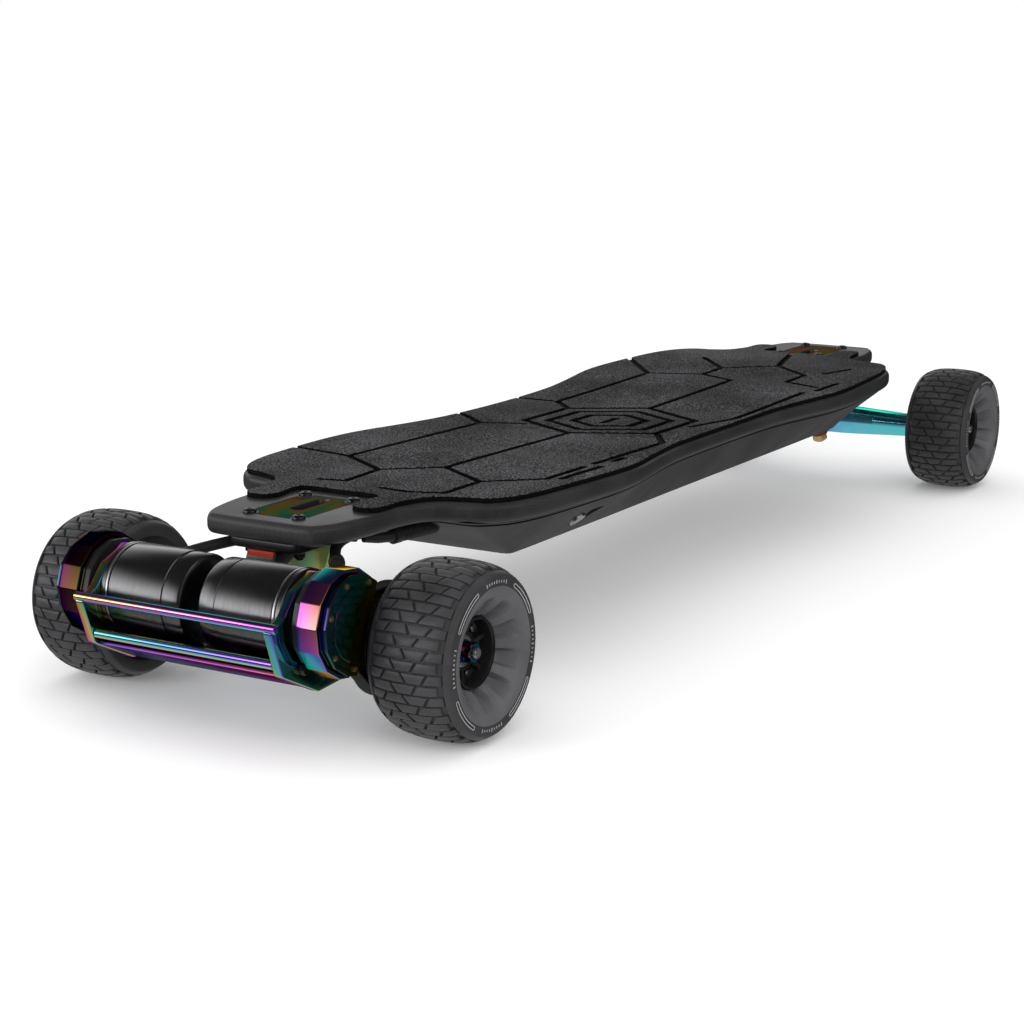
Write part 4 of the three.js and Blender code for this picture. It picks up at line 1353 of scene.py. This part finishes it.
def build_drive(side_name, sign):
    axis = (0, sign, 0)
    low, high = GEAR_LOW + 0.6, GEAR_HIGH - 0.8
    belt = Shape().plate(belt_path(2.3), low, high, side_place(sign), 0.3, [belt_path(0.5)])
    node = f"{side_name}_drive_belt"
    piece(f"{side_name}_toothed_belt", belt, belt_rubber, "rear_truck", [node])

    teeth = (BIG_RADIUS + 0.2, 1.6, BIG_TEETH)
    gear = pulley(REAR_AXLE, sign, teeth, 12.5, 38.6, GEAR_HIGH + 0.9, (48, 96), 0.3)
    gear.lathe(box_outline(12.5, 22, GEAR_HIGH + 0.6, 127.6, 0.5), REAR_AXLE, axis, 72, ring=True)
    for turn in turns(6):
        spot = (-AXLE_X + 29.5 * math.cos(turn), 0, AXLE_Z + 29.5 * math.sin(turn))
        hex_head(gear, spot, axis, 3.4, GEAR_HIGH + 0.8, GEAR_HIGH + 3.0, count=24)
    body, node = f"rear_{side_name}_wheel", f"{side_name}_wheel_pulley"
    piece(f"{side_name}_wheel_gear", gear, hub_plastic, body, [node])

    teeth = (SMALL_RADIUS + 0.1, 1.4, SMALL_TEETH)
    small = pulley(MOTOR_CENTRE, sign, teeth, 4.3, 14.3, GEAR_HIGH + 1.6, (32, 64), 0.2)
    body, node = f"{side_name}_rotor", f"{side_name}_motor_pulley"
    piece(f"{side_name}_motor_gear", small, bright_steel, body, [node])


def build_guard():
    for label, (u, v), reach, film in (
        ("upper", UPPER_ROD, MOUNT_OUT + 2, film_upper_rod),
        ("lower", LOWER_ROD, GUARD_REACH - 0.1, film_lower_rod),
    ):
        tip = [(2.4, -reach), (2.9, -reach + 0.15), (3.2, -reach + 0.6)]
        profile = tip + [(r, -y) for r, y in reversed(tip)]
        bar = Shape().lathe(profile, (MOTOR_X + u, 0, MOTOR_Z + v), (0, 1, 0), 64)
        piece(f"guard_{label}_bar", bar, film, "rear_truck", [f"guard_{label}_rod"])

    centre, outward, along = Vector((-18.0, -37.9)), Vector((-0.448, -0.894)), Vector((0.894, -0.448))
    corners = [centre + outward * a + along * b for a, b in ((1.2, -18), (1.2, 18), (-1.2, 18), (-1.2, -18))]
    outline = softened(from_motor(corners), 0.7, 3)
    strip = Shape().plate(outline, -GUARD_REACH, GUARD_REACH, side_place(1), 0.3)
    piece("guard_bottom_strip", strip, film_bar, "rear_truck")

    # A guessed cross brace of matte black plates: painted shade under the motors' cans.
    shade_brace = Shape()
    for edge, top in ((-4.0, -33.5), (13.5, -30.5)):
        corners = [(edge, top), (edge + 3.5, top), (edge + 3.5, -46.0), (edge, -46.0)]
        shade_brace.plate(softened(from_motor(corners), 0.8, 2), -GUARD_REACH, GUARD_REACH, side_place(1), 0.3)
    piece("guard_shade_brace", shade_brace, belt_rubber, "rear_truck")


# ---- cables ----


def blended(name, shape):
    """A cable piece that rides on no body, with its place baked into its mesh."""
    made = piece(name, shape, cable_rubber, None)
    start, end = (((x + SHIFT) * MM, 0, z * MM) for x, z in ((-438, 112), (-498, 104)))
    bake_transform(made)
    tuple(start)
    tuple(end)


def build_leads():
    """Motor leads from under the deck to each motor's base, with a plug in the right one."""
    routes = {
        "left": [
            (-418, 14, 112), (-440, 20, 112.5), (-462, 30, 112), (-482, 46, 108.5), (-496, 60, 104),
            (-506, 69, 99), (-511, 71.5, 94),
        ],
        "right": [
            (-405, -34, 112), (-424, -28, 112), (-438, -27, 108), (-450, -34, 103), (-464, -45, 104),
            (-480, -58, 106), (-495, -67, 103), (-507, -71.5, 97),
        ],
    }
    for side_name, route in routes.items():
        blended(f"{side_name}_motor_cable", Shape().tube(smooth_path(route, 8), 3.9, 16))
    joint = [(-459, -41.5, 103.4), (-460, -42.2, 103.5), (-468, -48.5, 104.5), (-469, -49.2, 104.6)]
    blended("cable_plug", Shape().tube(joint, [4.4, 5.6, 5.6, 4.4], 24))


def build_sleeve():
    """The ribbed sleeve where the leads leave the enclosure, with its collar."""
    path, radii = [], []
    for k in range(57):
        share = k / 56
        path.append((-352 - 40 * share, -50 + 3 * share, 108.5 + 0.5 * share))
        radii.append(5.6 - 0.8 * share + (0.5 if k % 4 in (1, 2) else -0.3))
    sleeve = Shape().tube(path, radii, 28)
    collar = [(-391, -47, 109), (-391.6, -47, 109), (-399, -46.4, 109), (-400, -46.4, 109)]
    sleeve.tube(collar, [4.2, 5.6, 5.6, 4.4], 28)
    sleeve.tube([(-399, -46.4, 109), (-412, -43, 110), (-422, -38, 111.5)], [3.9, 3.6, 3.2], 24)
    piece("cable_sleeve", sleeve, cable_rubber, "board")


build_deck()
build_mat()
build_tray()
build_button()
build_enclosure_screws()
build_hanger("front_hanger", 1, 104.0, 10, 127)
build_hanger("rear_hanger", -1, 72.0, 10.5, MOUNT_OUT + 3.5)
for end_name, end in ENDS:
    build_truck(end_name, end)
    for side_name, sign in SIDES:
        wheel = Wheel(end_name, end, side_name, sign)
        build_tyre(wheel)
        build_tread(wheel)
        build_wheel_marks(wheel)
        build_hub(wheel)
        build_hub_screws(wheel)
        build_bearings(wheel)
for side_name, sign in SIDES:
    build_motor(side_name, sign)
    build_mount(side_name, sign)
    build_case(side_name, sign)
    build_case_cover(side_name, sign)
    build_drive(side_name, sign)
build_guard()
build_leads()
build_sleeve()

for node, surface in (("battery_pack", wrap_film), ("speed_controller", dark_steel)):
    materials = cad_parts[node].data.materials
    materials.clear()
    materials.append(surface)


# ---- camera, floor and light ----


class WorldNodes(Nodes):
    """The same short calls for the world's node tree, which has no shader of its own."""

    def __init__(self, name):
        world = bpy.data.worlds.new(name)
        bpy.context.scene.world = world
        world.use_nodes = True
        self.tree = world.node_tree
        self.tree.nodes.clear()

    def rise(self, value, start, end):
        """0 before start, 1 after end."""
        return self.grey(value, 0.0, 1.0, start, end, interpolation_type="SMOOTHSTEP")


def build_stage():
    mesh = bpy.data.meshes.new("floor")
    work = bmesh.new()
    bmesh.ops.create_grid(work, x_segments=8, y_segments=8, size=30)
    work.to_mesh(mesh)
    work.free()
    floor = linked("floor", mesh)
    floor.visible_glossy = False
    n = Nodes("floor_paper")
    seen = n.add("ShaderNodeLightPath").outputs["Is Camera Ray"]
    share = n.plus(n.times(seen, 0.96), n.times(n.noise(3, 2), 0.04))
    color = n.ramp(share, (0.0, (0.5, 0.5, 0.5)), (1.0, (0.98, 0.98, 0.98)))
    n.set(Base_Color=color, Roughness=1.0, Specular_IOR_Level=0.0)
    n.set(Emission_Color=(1, 1, 1, 1), Emission_Strength=n.times(seen, 0.1))
    mesh.materials.append(n.material)


def build_world():
    """White all round for the floor and soft light; mirrors see a dark studio with three soft boxes."""
    n = WorldNodes("studio")
    x, y, z = n.split(n.add("ShaderNodeTexCoord").outputs["Generated"])
    length = n.math("MAXIMUM", n.math("SQRT", n.plus(n.times(x, x), n.times(y, y))), 0.001)

    def box(degrees, spread, low, peak, high, strength):
        """A soft box at a compass direction; low, peak and high are sines of its elevation."""
        turn = math.radians(degrees)
        facing = n.math("DIVIDE", n.plus(n.times(x, math.cos(turn)), n.times(y, math.sin(turn))), length)
        outer, inner = (math.cos(math.radians(spread + soft)) for soft in (8, -8))
        height = n.times(n.rise(z, low, peak), n.math("SUBTRACT", 1.0, n.rise(z, peak, high)))
        return n.times(height, n.rise(facing, outer, inner), strength)

    rear_box = box(134, 34, 0.0, 0.06, 0.62, 2.6)
    far_box = box(44, 34, 0.10, 0.22, 0.72, 1.3)
    side_box = box(-100, 40, 0.05, 0.3, 0.8, 0.7)
    ground = n.times(n.rise(n.times(z, -1.0), 0.05, 0.9), 0.5)
    studio = n.plus(rear_box, far_box, side_box, ground, 0.03)
    rays = n.add("ShaderNodeLightPath").outputs
    mix = n.add("ShaderNodeMix", data_type="FLOAT")
    for name, value in (("Factor", rays["Is Glossy Ray"]), ("A", 0.95), ("B", studio)):
        n.fill(mix.inputs[name], value)
    strength = n.plus(mix.outputs["Result"], n.times(rays["Is Camera Ray"], 0.05))
    background = n.add("ShaderNodeBackground", {"Color": (1, 1, 1, 1), "Strength": strength})
    n.add("ShaderNodeOutputWorld", {"Surface": background.outputs[0]})


def build_camera():
    data = bpy.data.cameras.new("camera")
    data.lens = 75.06
    data.sensor_width = 36
    data.clip_end = 200
    camera = linked("camera", data)
    place = (-1.572, -0.8664, 0.4462)
    yaw, pitch, roll = 0.54264, -0.21723, 0.00177
    ahead = Vector((math.cos(pitch) * math.cos(yaw), math.cos(pitch) * math.sin(yaw), math.sin(pitch)))
    right = ahead.cross(Vector((0, 0, 1))).normalized()
    up = right.cross(ahead) * math.cos(roll) + right * math.sin(roll)
    turn = Matrix((ahead.cross(up), up, -ahead)).transposed().to_4x4()
    camera.matrix_world = Matrix.Translation(place) @ turn
    bpy.context.scene.camera = camera


def build_light(name, location, aim, energy, size):
    data = bpy.data.lights.new(name, "AREA")
    data.energy = energy
    data.size = size
    light = linked(name, data)
    light.location = location
    light.rotation_euler = (Vector(aim) - light.location).to_track_quat("-Z", "Y").to_euler()
    light.visible_glossy = False


build_stage()
build_world()
build_camera()
build_light("key", (-1.6, -1.6, 1.2), (0, 0, 0.1), 14, 1.6)
build_light("rear", (-2.0, 0.9, 0.45), (-0.45, 0, 0.1), 14, 0.8)
bpy.context.scene.view_settings.view_transform = "Standard"
